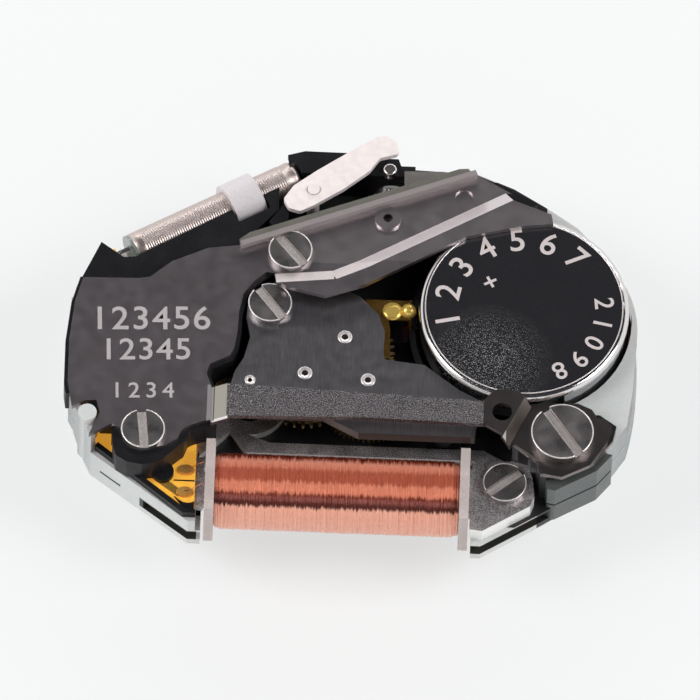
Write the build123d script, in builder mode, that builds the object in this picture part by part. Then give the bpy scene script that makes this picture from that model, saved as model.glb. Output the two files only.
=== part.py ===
from build123d import *
import os
from math import cos, hypot, pi, radians, sin

os.makedirs("parts", exist_ok=True)

# Quartz watch movement, in mm. The origin is on the hands' axis, in the plane that the
# dial rests on. X runs to the right, Y to the stem, and +Z to the cell side, the back.

# Overall reach of the movement from the hands' axis, which the outlines follow
half_length = 9.2
half_width = 6.8

# Heights of the layers above the dial plane
cell_floor = 0.20
web_bottom = 0.60
web_thick = 0.25
board_seat = 1.45
board_thick = 0.08
rear_block_top = 2.25
bridge_bottom = 2.10
bridge_thick = 0.40
cover_bottom = 2.55
cover_thick = 0.18
strap_rise = 0.32
clamp_drop = 0.13
web_top = web_bottom + web_thick
board_top = board_seat + board_thick
bridge_top = bridge_bottom + bridge_thick
cover_top = cover_bottom + cover_thick
strap_bottom = cover_bottom + strap_rise

# Clearances and a cutting overrun
running = 0.02
side_gap = 0.06
wall_gap = 0.10
overrun = 0.50

# Gear train: teeth, modules and the directions of the steps between axes
rotor_leaves = 6
fifth_teeth = 36
fifth_leaves = 8
fourth_teeth = 40
fourth_leaves = 8
third_teeth = 60
third_leaves = 8
centre_teeth = 64
rotor_distance = 1.797
fifth_distance = 1.871
third_distance = 1.758
third_direction = -63.1
fifth_direction = -131.7
rotor_direction = -169.1
cannon_leaves = 8
minute_teeth = 24
minute_leaves = 8
hour_teeth = 32
setting_teeth = 18
motion_distance = 2.0
minute_direction = 110.0
setting_direction = 40.0
tip_share = 0.9
root_share = 1.15
root_half_share = 0.30
tip_half_share = 0.12
crossing_share = 0.60

# Heights of the train wheels and pinions, each from low to high
wheel_thick = 0.12
leaf_spare = 0.04
centre_wheel_low = 0.93
third_wheel_low = 1.18
fourth_wheel_low = 1.44
fifth_wheel_low = 1.72
hour_wheel_low = 0.24
minute_wheel_low = 0.42

# Arbors
pivot_radius = 0.075
pivot_depth = 0.30
plate_pivot_depth = 0.20
shoulder_gap = 0.05
arbor_radius = 0.12
bush_radius = 0.25

# Hands' seats below the dial plane
hour_seat_radius = 0.60
hour_collar_radius = 0.80
hour_collar_drop = 0.14
hour_seat_drop = 0.72
minute_seat_radius = 0.35
cannon_radius = 0.32
minute_seat_drop = 1.28
second_seat_radius = 0.085
second_shaft_radius = 0.10
second_seat_start = 1.36
second_seat_drop = 1.95
hour_bore_radius = 0.36
cannon_hub_radius = 0.42
cannon_seat_radius = 0.30

# Rotor, stator and coil
magnet_radius = 0.50
magnet_high = 0.30
stator_bore = 0.75
stator_ring = 1.25
stator_thick = 0.30
core_thick = 0.30
core_width = 1.20
bobbin_wall = 0.12
flange_thick = 0.31
flange_width = 2.60
flange_high = 2.10
winding_width = 2.32
winding_high = 1.92
winding_round = 0.65
flange_level = 1.35

# Cell
cell_radius = 3.40
cell_high = 2.60
cell_shoulder = 0.20
cell_wall = 0.20
gasket_thick = 0.30
can_lift = 0.25
insulator_thick = 0.05

# Crystal
crystal_radius = 0.62
crystal_length = 6.00
crystal_wall = 0.08
crystal_round = 0.20
crystal_base_length = 0.45
lead_radius = 0.08
lead_spacing = 0.45
lead_length = 0.55
clip_width = 1.05
clip_wall = 0.20

# Screws
screw_head_radius = 0.70
screw_head_high = 0.24
screw_shank_radius = 0.28
clamp_head_radius = 1.00
clamp_shank_radius = 0.40
slot_width = 0.30
slot_depth = 0.13
shank_floor = 0.05
motion_head_radius = 0.30
motion_head_high = 0.08
motion_shank_radius = 0.14

# Motion-work cover and the recess that it closes
motion_cover_low = 0.10
motion_cover_thick = 0.08
hour_room = 1.85
minute_room = 1.75
setting_room = 1.40
ledge = 0.30
ear_radius = 0.60
post_radius = 0.20

# Dial feet and stem
foot_radius = 0.36
foot_depth = 0.75
stem_radius = 0.45
stem_level = 1.20
stem_wall = 0.65
stem_boss_half = 0.75
stem_boss_top = 1.80

# Keyless work
clutch_radius = 0.72
clutch_bore = 0.28
clutch_groove_radius = 0.50
clutch_length = 0.90
clutch_groove = 0.28
clutch_back = 5.06
clutch_teeth = 12
clutch_tooth_deep = 0.12
clutch_travel = 0.21
yoke_low = 1.10
yoke_thick = 0.20
lever_low = 2.35
lever_thick = 0.20
spring_thick = 0.12
pin_radius = 0.20
button_radius = 0.22
button_high = 0.30

# Small parts
chip_side = 1.60
chip_high = 0.45
track_thick = 0.04
pad_long = 0.30
pad_short = 0.20
pad_high = 0.10
pad_taper = 20
spacer_proud = 0.12
rail_high = 0.18
lap = 0.05
mitre = 0.10
ramp_run = 0.50
bend_run = 0.25
edge_rise = 0.28
ring_rise = 0.10
clamp_head_high = 0.34
clutch_tooth_wide = 0.16
groove_share = 0.55
yoke_tip_half = 0.07
yoke_tip_gap = 0.13
yoke_finger = 0.25
fork_length = 4.20
fork_width = 0.50
fork_thick = 0.12
fork_slot_length = 2.60
fork_slot_width = 0.12
peg_radius = 0.30
peg_rise = 0.10
contact_thick = 0.08
contact_width = 0.75
contact_shift = 0.20
block_groove = 0.10
block_low = 0.15
block_top = 2.05
right_wall_top = 2.05
lever_round = 0.15
groove_low = 0.30
groove_top = 0.75
boss_radius = 0.36
rim_ring_radius = 0.42
rim_ring_bore = 0.15
strap_hole_radius = 0.32
dimple_radius = 0.30
dimple_depth = 0.08


# Outlines, as shares of half_length and half_width
plate_left_shares = [(-0.875, -0.596), (-0.973, -0.088), (-0.886, 0.493)]
plate_rear_shares = [(-0.821, 0.544), (-0.270, 1.051), (-0.174, 1.066), (0.440, 1.066), (0.576, 0.989),
                     (0.690, 0.894), (0.805, 0.786), (0.925, 0.607)]
plate_right_shares = [(0.925, 0.607), (1.027, 0.059), (1.000, -0.397)]
plate_front_shares = [(0.913, -0.588), (0.717, -0.779), (0.500, -0.971), (-0.527, -0.949)]
left_block_shares = [(-0.875, -0.596), (-0.960, -0.38), (-0.965, 0.25), (-0.50, 0.40), (-0.38, 0.25),
                     (-0.37, -0.05), (-0.49, -0.20), (-0.50, -0.949), (-0.527, -0.949)]
rear_block_shares = [(-0.250, 0.581), (-0.283, 0.640), (-0.205, 0.790), (-0.225, 1.010), (-0.165, 1.035),
                     (0.050, 1.033), (0.058, 1.010), (0.165, 1.010), (0.180, 0.955), (0.435, 0.944),
                     (0.560, 0.870), (0.660, 0.790), (0.543, 0.706), (0.348, 0.544), (0.109, 0.581)]
cover_left_shares = [(-0.926, 0.254), (-0.734, 0.260), (-0.691, 0.271), (-0.617, 0.360), (-0.492, 0.441),
                     (-0.380, 0.463)]
cover_arm_shares = [(0.437, 0.903), (0.568, 0.801)]
cover_ramp_shares = [(0.545, 0.803), (0.045, 0.406), (-0.051, 0.341), (-0.243, 0.313)]
cover_gap_shares = [(-0.284, 0.321), (-0.326, 0.269), (-0.361, 0.199), (-0.375, 0.097), (-0.377, -0.003),
                    (-0.386, -0.097), (-0.401, -0.144), (-0.470, -0.194), (-0.479, -0.246),
                    (-0.462, -0.310)]
cover_front_shares = [(-0.451, -0.495), (-0.493, -0.511), (-0.532, -0.534), (-0.560, -0.562),
                      (-0.571, -0.605), (-0.615, -0.649), (-0.655, -0.660), (-0.700, -0.675),
                      (-0.745, -0.650), (-0.765, -0.605), (-0.774, -0.563), (-0.804, -0.541),
                      (-0.845, -0.573), (-0.883, -0.605), (-0.860, -0.515), (-0.848, -0.481),
                      (-0.861, -0.416), (-0.902, -0.419), (-0.947, -0.456), (-0.965, -0.309),
                      (-0.966, -0.088), (-0.951, 0.126)]
flange_shares = [(-0.215, 0.221), (-0.076, 0.176), (0.066, 0.247), (0.249, 0.394), (0.411, 0.529),
                 (0.600, 0.597), (0.716, 0.618), (0.709, 0.669)]
strap_shares = [(-0.405, -0.322), (0.490, -0.368), (0.523, -0.316), (0.542, -0.299), (0.616, -0.303),
                (0.637, -0.338), (0.568, -0.544), (0.505, -0.493), (0.063, -0.482), (-0.405, -0.500)]
strap_end_shares = [(0.661, -0.332), (0.592, -0.545), (0.692, -0.638), (0.708, -0.713), (0.776, -0.728),
                    (0.874, -0.657), (0.932, -0.528), (0.948, -0.440), (0.924, -0.407), (0.893, -0.396),
                    (0.874, -0.354), (0.826, -0.324)]
clamp_shares = [(0.660, -0.368), (0.600, -0.540), (0.685, -0.630), (0.701, -0.699), (0.772, -0.713),
                (0.886, -0.632), (0.951, -0.507), (0.962, -0.426), (0.902, -0.368)]
bridge_shares = [(-0.250, 0.287), (-0.324, 0.232), (-0.345, 0.151), (-0.348, 0.084), (-0.332, -0.016),
                 (-0.352, -0.135), (-0.380, -0.204), (-0.393, -0.272), (-0.393, -0.434),
                 (-0.065, -0.434), (0.060, -0.522), (0.467, -0.522), (0.482, -0.319), (0.410, -0.269),
                 (0.321, -0.178), (0.283, -0.137), (0.143, -0.115), (0.137, -0.074), (0.139, 0.035),
                 (0.116, 0.128), (0.049, 0.224), (-0.054, 0.287)]
board_shares = [(-0.855, -0.551), (-0.925, -0.382), (-0.925, 0.221), (-0.895, 0.400), (-0.800, 0.400),
                (-0.785, 0.225), (-0.717, 0.225), (-0.609, 0.328), (-0.478, 0.343), (-0.424, 0.206),
                (-0.446, -0.147), (-0.505, -0.294), (-0.505, -0.885), (-0.530, -0.895)]
spacer_rear_shares = [(-0.950, 0.235), (-0.868, 0.494), (-0.787, 0.416), (-0.747, 0.421),
                      (-0.250, 0.834), (-0.250, 0.710), (-0.372, 0.520), (-0.420, 0.440),
                      (-0.617, 0.324), (-0.696, 0.235)]
spacer_leg_shares = [(-0.337, 0.346), (0.011, 0.390), (0.087, 0.485), (0.087, 0.545), (-0.270, 0.545),
                     (-0.340, 0.471)]
right_tab_shares = [(0.457, -0.574), (0.604, -0.556), (0.657, -0.575), (0.675, -0.643), (0.684, -0.745),
                    (0.670, -0.797), (0.505, -0.942), (0.457, -0.934)]
left_tab_shares = [(-0.462, -0.600), (-0.600, -0.600), (-0.660, -0.680), (-0.600, -0.840),
                   (-0.462, -0.870)]
stator_left_shares = [(-0.457, -0.324), (-0.576, -0.574), (-0.598, -0.632), (-0.598, -0.779),
                      (-0.500, -0.779), (-0.500, -0.574), (-0.370, -0.397)]
stator_right_shares = [(-0.400, -0.400), (-0.250, -0.479), (0.500, -0.479), (0.604, -0.556),
                       (0.500, -0.620), (0.470, -0.537), (-0.330, -0.537)]
right_wall_shares = [(0.935, 0.382), (0.984, 0.324), (1.020, 0.132), (1.022, 0.015), (1.015, -0.20),
                     (0.998, -0.390), (0.950, -0.500), (0.870, -0.400), (0.790, -0.30), (0.850, 0.0)]
left_groove_shares = [(-0.685, -0.789), (-0.667, -0.756), (-0.520, -0.905), (-0.480, -0.905), (-0.480, -1.05),
                      (-0.750, -1.05)]
right_groove_shares = [(0.460, -0.930), (0.497, -0.930), (0.708, -0.745), (0.740, -0.760), (0.740, -1.05),
                       (0.460, -1.05)]
peg_wall_shares = [(-0.875, -0.596), (-0.860, -0.560), (-0.931, -0.386), (-0.957, -0.380)]
block_shares = [(0.712, -0.640), (0.728, -0.750), (0.755, -0.757), (0.900, -0.640), (0.951, -0.551),
                (0.891, -0.529)]
spacer_lobe_shares = [(-0.804, -0.500), (-0.798, -0.645), (-0.785, -0.697), (-0.746, -0.730),
                      (-0.693, -0.742), (-0.659, -0.734), (-0.618, -0.705), (-0.584, -0.655),
                      (-0.550, -0.613), (-0.520, -0.500)]
spacer_cut_shares = [(-0.990, -0.370), (-0.990, -0.700), (-0.804, -0.700), (-0.804, -0.500),
                     (-0.845, -0.500), (-0.905, -0.370)]
spacer_rail_shares = [(-0.851, -0.561), (-0.534, -0.907), (-0.500, -0.907), (-0.500, -0.928),
                      (-0.545, -0.928), (-0.861, -0.582)]
strap_root_shares = [(-0.455, -0.322), (-0.455, -0.500)]
contact_shares = [(0.070, 0.245), (0.070, -0.060), (0.158, -0.075), (0.158, 0.080), (0.150, 0.140),
                  (0.230, 0.140), (0.230, 0.245)]
track_shares = [[(-0.625, -0.632), (-0.592, -0.632), (-0.609, -0.190), (-0.641, -0.190)],
                [(-0.783, -0.603), (-0.565, -0.824), (-0.543, -0.801), (-0.761, -0.574)],
                [(-0.891, -0.353), (-0.859, -0.353), (-0.859, 0.176), (-0.891, 0.176)]]
pad_shares = [(-0.540, -0.680), (-0.540, -0.800)]
lever_shares = [(-0.235, 0.742), (-0.216, 0.694), (-0.175, 0.678), (-0.129, 0.712), (-0.026, 0.809),
                (0.065, 0.915), (0.098, 0.986), (0.168, 1.016), (0.157, 1.076), (0.119, 1.110),
                (0.090, 1.103), (0.027, 1.050), (-0.122, 0.904), (-0.201, 0.817)]
spring_shares = [(0.190, 0.800), (0.187, 0.935), (0.320, 0.940), (0.430, 0.925), (0.470, 0.880),
                 (0.420, 0.850)]

# Places, as shares of half_length and half_width
cell_place_share = (0.624, 0.169)
left_screw_share = (-0.694, -0.580)
rear_screw_share = (-0.203, 0.430)
bridge_screw_share = (-0.267, 0.155)
bridge_foot_share = (0.360, -0.385)
coil_screw_share = (0.579, -0.690)
clamp_screw_share = (0.773, -0.507)
peg_share = (-0.891, -0.490)
boss_share = (-0.620, -0.705)
notch_shares = (-0.4813, 0.4659)
coil_back_share = 0.7647
left_foot_share = (-0.850, 0.060)
right_foot_share = (0.905, -0.420)
crystal_start_share = (-0.754, 0.494)
crystal_direction = 30.3
clip_share = 0.665
ring_share = (0.135, 0.635)
dimple_share = (0.400, 0.770)
strap_hole_share = (0.560, -0.422)
chip_share = (-0.660, -0.060)
lever_pin_share = (-0.130, 0.800)
button_share = (0.136, 0.930)
yoke_post_share = (-0.150, 0.660)
keyless_low_share = (-0.215, 0.610)
keyless_high_share = (0.245, 0.915)


def spot(share):
    """Turn a pair of shares into a plan position."""
    return (share[0] * half_length, share[1] * half_width)


def spots(shares):
    """Turn a list of share pairs into plan positions."""
    return [spot(share) for share in shares]


def step(start, length, direction):
    """The point that lies a given distance and direction from another."""
    x = start[0] + length * cos(radians(direction))
    y = start[1] + length * sin(radians(direction))
    return (x, y)


def layer(points, low, high, mode=Mode.ADD):
    """A flat layer with a straight-sided outline, between two heights."""
    with BuildSketch(Plane.XY.offset(low)) as outline:
        with BuildLine():
            Polyline(*points, close=True)
        make_face()
    extrude(outline.sketch, amount=high - low, mode=mode)


def disc(place, radius, low, high, mode=Mode.ADD):
    """An upright cylinder between two heights."""
    with BuildSketch(Plane.XY.offset(low)) as outline:
        with Locations(place):
            Circle(radius)
    extrude(outline.sketch, amount=high - low, mode=mode)


def block(low_corner, high_corner, low, high, mode=Mode.ADD):
    """An upright box between two plan corners and two heights."""
    width = high_corner[0] - low_corner[0]
    depth = high_corner[1] - low_corner[1]
    with BuildSketch(Plane.XY.offset(low)) as outline:
        with Locations(((low_corner[0] + high_corner[0]) / 2, (low_corner[1] + high_corner[1]) / 2)):
            Rectangle(width, depth)
    extrude(outline.sketch, amount=high - low, mode=mode)


def toothed(place, teeth, module, low, high, turn):
    """A spur gear with straight-flanked teeth, its first tooth at the given angle."""
    pitch = teeth * module / 2
    tip = pitch + tip_share * module
    root = pitch - root_share * module
    tooth = 2 * pi / teeth
    base_half = tooth * root_half_share
    tip_half = tooth * tip_half_share
    points = []
    for number in range(teeth):
        middle = radians(turn) + number * tooth
        corners = [(root, -base_half), (tip, -tip_half), (tip, tip_half), (root, base_half)]
        for radius, offset_angle in corners:
            angle = middle + offset_angle
            points.append((place[0] + radius * cos(angle), place[1] + radius * sin(angle)))
    layer(points, low, high)


def mesh_turn(first_teeth, first_turn, direction, second_teeth):
    """The turn of a second gear that meshes with a first one and lies in the given direction from it."""
    first_tooth = 360 / first_teeth
    phase = ((direction - first_turn) / first_tooth) % 1
    second_tooth = 360 / second_teeth
    return direction + 180 + (phase + 0.5) * second_tooth


def crossings(place, low, high, inner, outer, count):
    """Round windows between a wheel's hub and its rim."""
    middle = (inner + outer) / 2
    window = (outer - inner) / 2 * crossing_share
    for number in range(count):
        disc(step(place, middle, number * 360 / count), window, low - overrun, high + overrun, Mode.SUBTRACT)


def slotted_screw(place, head_radius, seat, shank_radius, bottom, turn, head_high):
    """A cheese-head screw with a straight slot, its head on the given seat height."""
    disc(place, shank_radius, bottom, seat)
    with BuildSketch(Plane.XY.offset(seat)) as head:
        with Locations(place):
            Circle(head_radius)
    extrude(head.sketch, amount=head_high)
    top = seat + head_high
    with BuildSketch(Plane.XY.offset(top - slot_depth * head_high / screw_head_high)) as slot:
        with Locations(Location((place[0], place[1], 0), turn)):
            Rectangle(2 * head_radius + overrun, slot_width)
    extrude(slot.sketch, amount=overrun, mode=Mode.SUBTRACT)


# Plan positions of the axes
hands = (0, 0)
third_place = step(hands, third_distance, third_direction)
fifth_place = step(hands, fifth_distance, fifth_direction)
rotor_place = step(fifth_place, rotor_distance, rotor_direction)
cannon_module = 2 * motion_distance / (cannon_leaves + minute_teeth)
hour_module = 2 * motion_distance / (hour_teeth + minute_leaves)
minute_place = step(hands, motion_distance, minute_direction)
setting_distance = cannon_module * (minute_teeth + setting_teeth) / 2
setting_place = step(minute_place, setting_distance, setting_direction)
rotor_module = 2 * rotor_distance / (rotor_leaves + fifth_teeth)
fifth_module = 2 * fifth_distance / (fifth_leaves + fourth_teeth)
fourth_module = 2 * third_distance / (fourth_leaves + third_teeth)
third_module = 2 * third_distance / (third_leaves + centre_teeth)
stem_x = setting_place[0]
cell_place = spot(cell_place_share)
cell_bottom = cell_floor + insulator_thick
cap_radius = cell_radius - cell_wall - gasket_thick
cell_top = cell_bottom + cell_high
coil_back = coil_back_share * half_width
notch_left, notch_right = [share * half_length for share in notch_shares]
winding_length = notch_right - notch_left - 2 * (flange_thick + wall_gap)
notch_back = -coil_back + flange_width / 2 + wall_gap
core_low = web_top + stator_thick
core_top = core_low + core_thick
coil_level = core_low + core_thick / 2
crystal_level = board_top + lead_radius
crystal_start = spot(crystal_start_share)
left_screw = spot(left_screw_share)
rear_screw = spot(rear_screw_share)
bridge_screw = spot(bridge_screw_share)
bridge_foot = spot(bridge_foot_share)
coil_screw = spot(coil_screw_share)
clamp_screw = spot(clamp_screw_share)
peg_place = spot(peg_share)
left_foot = spot(left_foot_share)
right_foot = spot(right_foot_share)
clamp_bottom = cover_bottom - clamp_drop
keyless_low = spot(keyless_low_share)
keyless_high = spot(keyless_high_share)
rear_face = plate_rear_shares[3][1] * half_width
stem_wall_back = keyless_high[1] + stem_wall
contact_y = cell_place[1] - contact_shift
train_places = [third_place, fifth_place, rotor_place]
motion_ears = [step(hands, hour_room + ledge, 205), step(setting_place, setting_room + ledge, 150)]


def clear_cell(low, gap):
    """Cut the cell's room, and a gap around it, out of the piece being made."""
    disc(cell_place, cell_radius + gap, low, cell_top + overrun, Mode.SUBTRACT)


def clear_crystal(gap):
    """Cut the crystal's room out of the piece being made."""
    start = step(crystal_start, crystal_base_length + gap, crystal_direction + 180)
    axis = Vector(cos(radians(crystal_direction)), sin(radians(crystal_direction)), 0)
    with BuildSketch(Plane(origin=(start[0], start[1], crystal_level), z_dir=axis)) as room:
        Circle(crystal_radius + gap)
    extrude(room.sketch, amount=crystal_length + crystal_base_length + 2 * gap, mode=Mode.SUBTRACT)


def lead_seat(low, high, extra, mode=Mode.ADD):
    """The short tongue behind the crystal's base, where its leads are soldered."""
    middle = step(crystal_start, lead_length / 2 + crystal_base_length, crystal_direction + 180)
    with BuildSketch(Plane.XY.offset(low)) as tongue:
        with Locations(Location((middle[0], middle[1], 0), crystal_direction)):
            Rectangle(lead_length + 2 * extra, lead_spacing + 6 * lead_radius + 2 * extra)
    extrude(tongue.sketch, amount=high - low, mode=mode)


def clip_room(length, reach, low, high, mode):
    """An upright box round the clip's place on the crystal."""
    middle = step(crystal_start, clip_share * crystal_length, crystal_direction)
    with BuildSketch(Plane.XY.offset(low)) as room:
        with Locations(Location((middle[0], middle[1], 0), crystal_direction)):
            Rectangle(length, 2 * reach)
    extrude(room.sketch, amount=high - low, mode=mode)


def motion_rooms(extra, low, high, mode):
    """The three round rooms of the motion work, larger by the given amount."""
    disc(hands, hour_room + extra, low, high, mode)
    disc(minute_place, minute_room + extra, low, high, mode)
    disc(setting_place, setting_room + extra, low, high, mode)


def stem_boss(extra, mode=Mode.ADD):
    """The wall behind the keyless room, which the stem passes through."""
    left, right = stem_x - stem_boss_half - extra, stem_x + stem_boss_half + extra
    block((left, keyless_high[1]), (right, stem_wall_back), web_top, stem_boss_top + extra, mode)


def keyless_room():
    """Cut the room of the lever, the yoke and the clutch wheel out of the piece being made."""
    block(keyless_low, keyless_high, web_top, rear_block_top + overrun, Mode.SUBTRACT)
    block((stem_x - clutch_radius - side_gap, clutch_back - clutch_travel - side_gap),
          (stem_x + clutch_radius + side_gap, keyless_high[1]), stem_level - clutch_radius - side_gap,
          rear_block_top + overrun, Mode.SUBTRACT)


# Main plate: a moulded plate with blocks for the board, the keyless work, the cell and the bridge
with BuildPart() as main_plate:
    with BuildSketch():
        with BuildLine():
            ThreePointArc(*spots(plate_left_shares))
            Polyline(*spots(plate_left_shares[-1:] + plate_rear_shares))
            ThreePointArc(*spots(plate_right_shares))
            Polyline(*spots(plate_right_shares[-1:] + plate_front_shares + plate_left_shares[:1]))
        make_face()
    extrude(amount=web_top)
    layer(spots(left_block_shares), web_top, board_seat)
    stem_boss(0)
    disc(cell_place, cell_radius + 3 * wall_gap, web_top, board_seat)
    layer(spots(clamp_shares), web_top, clamp_bottom - cover_thick)
    disc(bridge_screw, ear_radius, web_top, bridge_bottom)
    disc(bridge_foot, ear_radius, web_top, bridge_bottom)
    layer(spots(right_wall_shares), web_top, right_wall_top)
    lead_seat(web_top, board_seat, wall_gap)
    # pockets for the contact block, the stator and the coil's core
    layer(spots(block_shares), block_low, cover_top, Mode.SUBTRACT)
    layer(spots(right_tab_shares), web_top, cover_top, Mode.SUBTRACT)
    layer(spots(left_tab_shares), web_top, cover_top, Mode.SUBTRACT)
    layer(spots(stator_left_shares), web_top, cover_top, Mode.SUBTRACT)
    layer(spots(stator_right_shares), web_top, cover_top, Mode.SUBTRACT)
    disc(rotor_place, stator_ring, web_top, cover_top, Mode.SUBTRACT)
    # the grooves below the front edges, and the locating peg with the wall beside it
    layer(spots(left_groove_shares), groove_low, groove_top, Mode.SUBTRACT)
    layer(spots(right_groove_shares), groove_low, groove_top, Mode.SUBTRACT)
    layer(spots(peg_wall_shares), web_top, cover_bottom - side_gap)
    disc(peg_place, peg_radius, groove_low, cover_top + peg_rise)
    # the cell's room, and the slot beside it for the contact's leg
    clear_cell(cell_floor, wall_gap)
    block((cell_place[0] - cell_radius - 5 * wall_gap, contact_y - wall_gap),
          (cell_place[0], contact_y + contact_width + wall_gap), cell_floor, web_top + overrun,
          Mode.SUBTRACT)
    # the coil's notch
    block((notch_left, -half_width - overrun), (notch_right, notch_back), -overrun, web_top + overrun,
          Mode.SUBTRACT)
    # the motion work's rooms, and the shallow recess of its cover
    motion_rooms(0, -overrun, web_bottom, Mode.SUBTRACT)
    motion_rooms(ledge, -overrun, motion_cover_low + motion_cover_thick, Mode.SUBTRACT)
    for ear in motion_ears:
        disc(ear, ear_radius, -overrun, motion_cover_low + motion_cover_thick, Mode.SUBTRACT)
        disc(ear, motion_shank_radius, -overrun, web_bottom, Mode.SUBTRACT)
    # the hands' hole and the bushes' holes through the web
    disc(hands, cannon_hub_radius + running, -overrun, web_top + overrun, Mode.SUBTRACT)
    for place in train_places:
        disc(place, bush_radius, -overrun, web_top + overrun, Mode.SUBTRACT)
    for place in [minute_place, setting_place]:
        disc(place, post_radius, web_bottom - overrun, web_bottom + web_thick / 2, Mode.SUBTRACT)
    # the keyless room and the stem's bore
    keyless_room()
    with BuildSketch(Plane(origin=(stem_x, rear_face + overrun, stem_level), z_dir=(0, -1, 0))) as stem_hole:
        Circle(stem_radius)
    extrude(stem_hole.sketch, amount=2 * overrun + rear_face - keyless_high[1], mode=Mode.SUBTRACT)
    # screw and dial-foot holes
    for place in [left_screw, rear_screw, bridge_screw, bridge_foot, coil_screw]:
        disc(place, screw_shank_radius, web_bottom, cover_top, Mode.SUBTRACT)
    disc(clamp_screw, clamp_shank_radius, web_bottom, cover_top, Mode.SUBTRACT)
    for place in [left_foot, right_foot]:
        disc(place, foot_radius, -overrun, foot_depth, Mode.SUBTRACT)
    clear_crystal(side_gap)
main_plate.part.label = "main_plate"
export_step(main_plate.part, "parts/main_plate.step")
print("main plate", main_plate.part.volume, len(main_plate.part.solids()))


# Keyless housing: black moulding on the plate's rear, round the stem's wall and the keyless room
with BuildPart() as keyless_housing:
    layer(spots(rear_block_shares), web_top, rear_block_top)
    keyless_room()
    stem_boss(running, Mode.SUBTRACT)
    clear_crystal(side_gap)
    clear_cell(web_top - overrun, wall_gap)
    disc(cell_place, cell_radius + 3 * wall_gap + running, web_top - overrun, board_seat + running,
         Mode.SUBTRACT)
keyless_housing.part.label = "keyless_housing"
export_step(keyless_housing.part, "parts/keyless_housing.step")

# Plate bushes: brass rings that the lower pivots turn in
with BuildPart() as plate_bushes:
    for place in train_places:
        disc(place, bush_radius, web_bottom, web_top)
        disc(place, pivot_radius + running, web_bottom - overrun, web_top + overrun, Mode.SUBTRACT)
plate_bushes.part.label = "plate_bushes"
export_step(plate_bushes.part, "parts/plate_bushes.step")

# Motion posts: studs for the minute wheel and the setting wheel
motion_cover_top = motion_cover_low + motion_cover_thick
with BuildPart() as motion_posts:
    for place in [minute_place, setting_place]:
        disc(place, post_radius, motion_cover_top, web_bottom + web_thick / 2)
motion_posts.part.label = "motion_posts"
export_step(motion_posts.part, "parts/motion_posts.step")

# Motion-work cover: the thin plate that keeps the dial-side wheels on their posts
with BuildPart() as motion_cover:
    motion_rooms(ledge - side_gap, motion_cover_low, motion_cover_top, Mode.ADD)
    for ear in motion_ears:
        disc(ear, ear_radius - side_gap, motion_cover_low, motion_cover_top)
        disc(ear, motion_shank_radius + running, -overrun, motion_cover_top + overrun, Mode.SUBTRACT)
    disc(hands, hour_collar_radius + side_gap, -overrun, motion_cover_top + overrun, Mode.SUBTRACT)
motion_cover.part.label = "motion_cover"
export_step(motion_cover.part, "parts/motion_cover.step")

# Motion-cover screws: two small flush screws on the dial side
with BuildPart() as motion_cover_screws:
    for ear in motion_ears:
        disc(ear, motion_head_radius, motion_cover_low - motion_head_high, motion_cover_low)
        disc(ear, motion_shank_radius, motion_cover_low, web_bottom - shank_floor)
        with BuildSketch(Plane.XY.offset(motion_cover_low - motion_head_high / 2)) as motion_slot:
            with Locations(ear):
                Rectangle(2 * motion_head_radius + overrun, slot_width / 2)
        extrude(motion_slot.sketch, amount=-overrun, mode=Mode.SUBTRACT)
motion_cover_screws.part.label = "motion_cover_screws"
export_step(motion_cover_screws.part, "parts/motion_cover_screws.step")


def tooth_span(wheel_low):
    """The low and high ends of the leaves that a wheel at this height meshes with."""
    return (wheel_low - leaf_spare, wheel_low + wheel_thick + leaf_spare)


# Hour wheel: toothed disc with the pipe that carries the hour hand
minute_turn = mesh_turn(cannon_leaves, 0, minute_direction, minute_teeth)
hour_turn = mesh_turn(minute_leaves, 0, minute_direction + 180, hour_teeth)
with BuildPart() as hour_wheel:
    toothed(hands, hour_teeth, hour_module, hour_wheel_low, hour_wheel_low + wheel_thick, hour_turn)
    disc(hands, hour_collar_radius, -hour_collar_drop, hour_wheel_low)
    disc(hands, hour_seat_radius, -hour_seat_drop, -hour_collar_drop)
    disc(hands, hour_bore_radius, -hour_seat_drop - overrun, hour_wheel_low + overrun, Mode.SUBTRACT)
hour_wheel.part.label = "hour_wheel"
export_step(hour_wheel.part, "parts/hour_wheel.step")

# Cannon pinion: the tube that carries the minute hand, with its leaves and the centre wheel's seat
with BuildPart() as cannon_pinion:
    leaf_low, leaf_high = tooth_span(minute_wheel_low)
    toothed(hands, cannon_leaves, cannon_module, leaf_low, leaf_high, 0)
    disc(hands, minute_seat_radius, -minute_seat_drop, -hour_seat_drop - leaf_spare)
    disc(hands, cannon_radius, -hour_seat_drop - leaf_spare, leaf_low)
    disc(hands, cannon_hub_radius, leaf_high, centre_wheel_low)
    disc(hands, cannon_seat_radius, centre_wheel_low, centre_wheel_low + wheel_thick + leaf_spare)
    disc(hands, second_shaft_radius + running, -minute_seat_drop - overrun, fourth_wheel_low, Mode.SUBTRACT)
cannon_pinion.part.label = "cannon_pinion"
export_step(cannon_pinion.part, "parts/cannon_pinion.step")


def train_wheel(place, teeth, module, low, turn, hub, windows):
    """A thin wheel with round windows between its hub and its rim."""
    toothed(place, teeth, module, low, low + wheel_thick, turn)
    rim = teeth * module / 2 - 3 * module
    if windows:
        crossings(place, low, low + wheel_thick, 2 * hub, rim, windows)
    disc(place, hub, low - overrun, low + overrun, Mode.SUBTRACT)


# Centre wheel: carried by the cannon pinion, once round in an hour
centre_turn = mesh_turn(third_leaves, 0, third_direction + 180, centre_teeth)
with BuildPart() as centre_wheel:
    train_wheel(hands, centre_teeth, third_module, centre_wheel_low, centre_turn, cannon_seat_radius, 5)
centre_wheel.part.label = "centre_wheel"
export_step(centre_wheel.part, "parts/centre_wheel.step")

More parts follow.
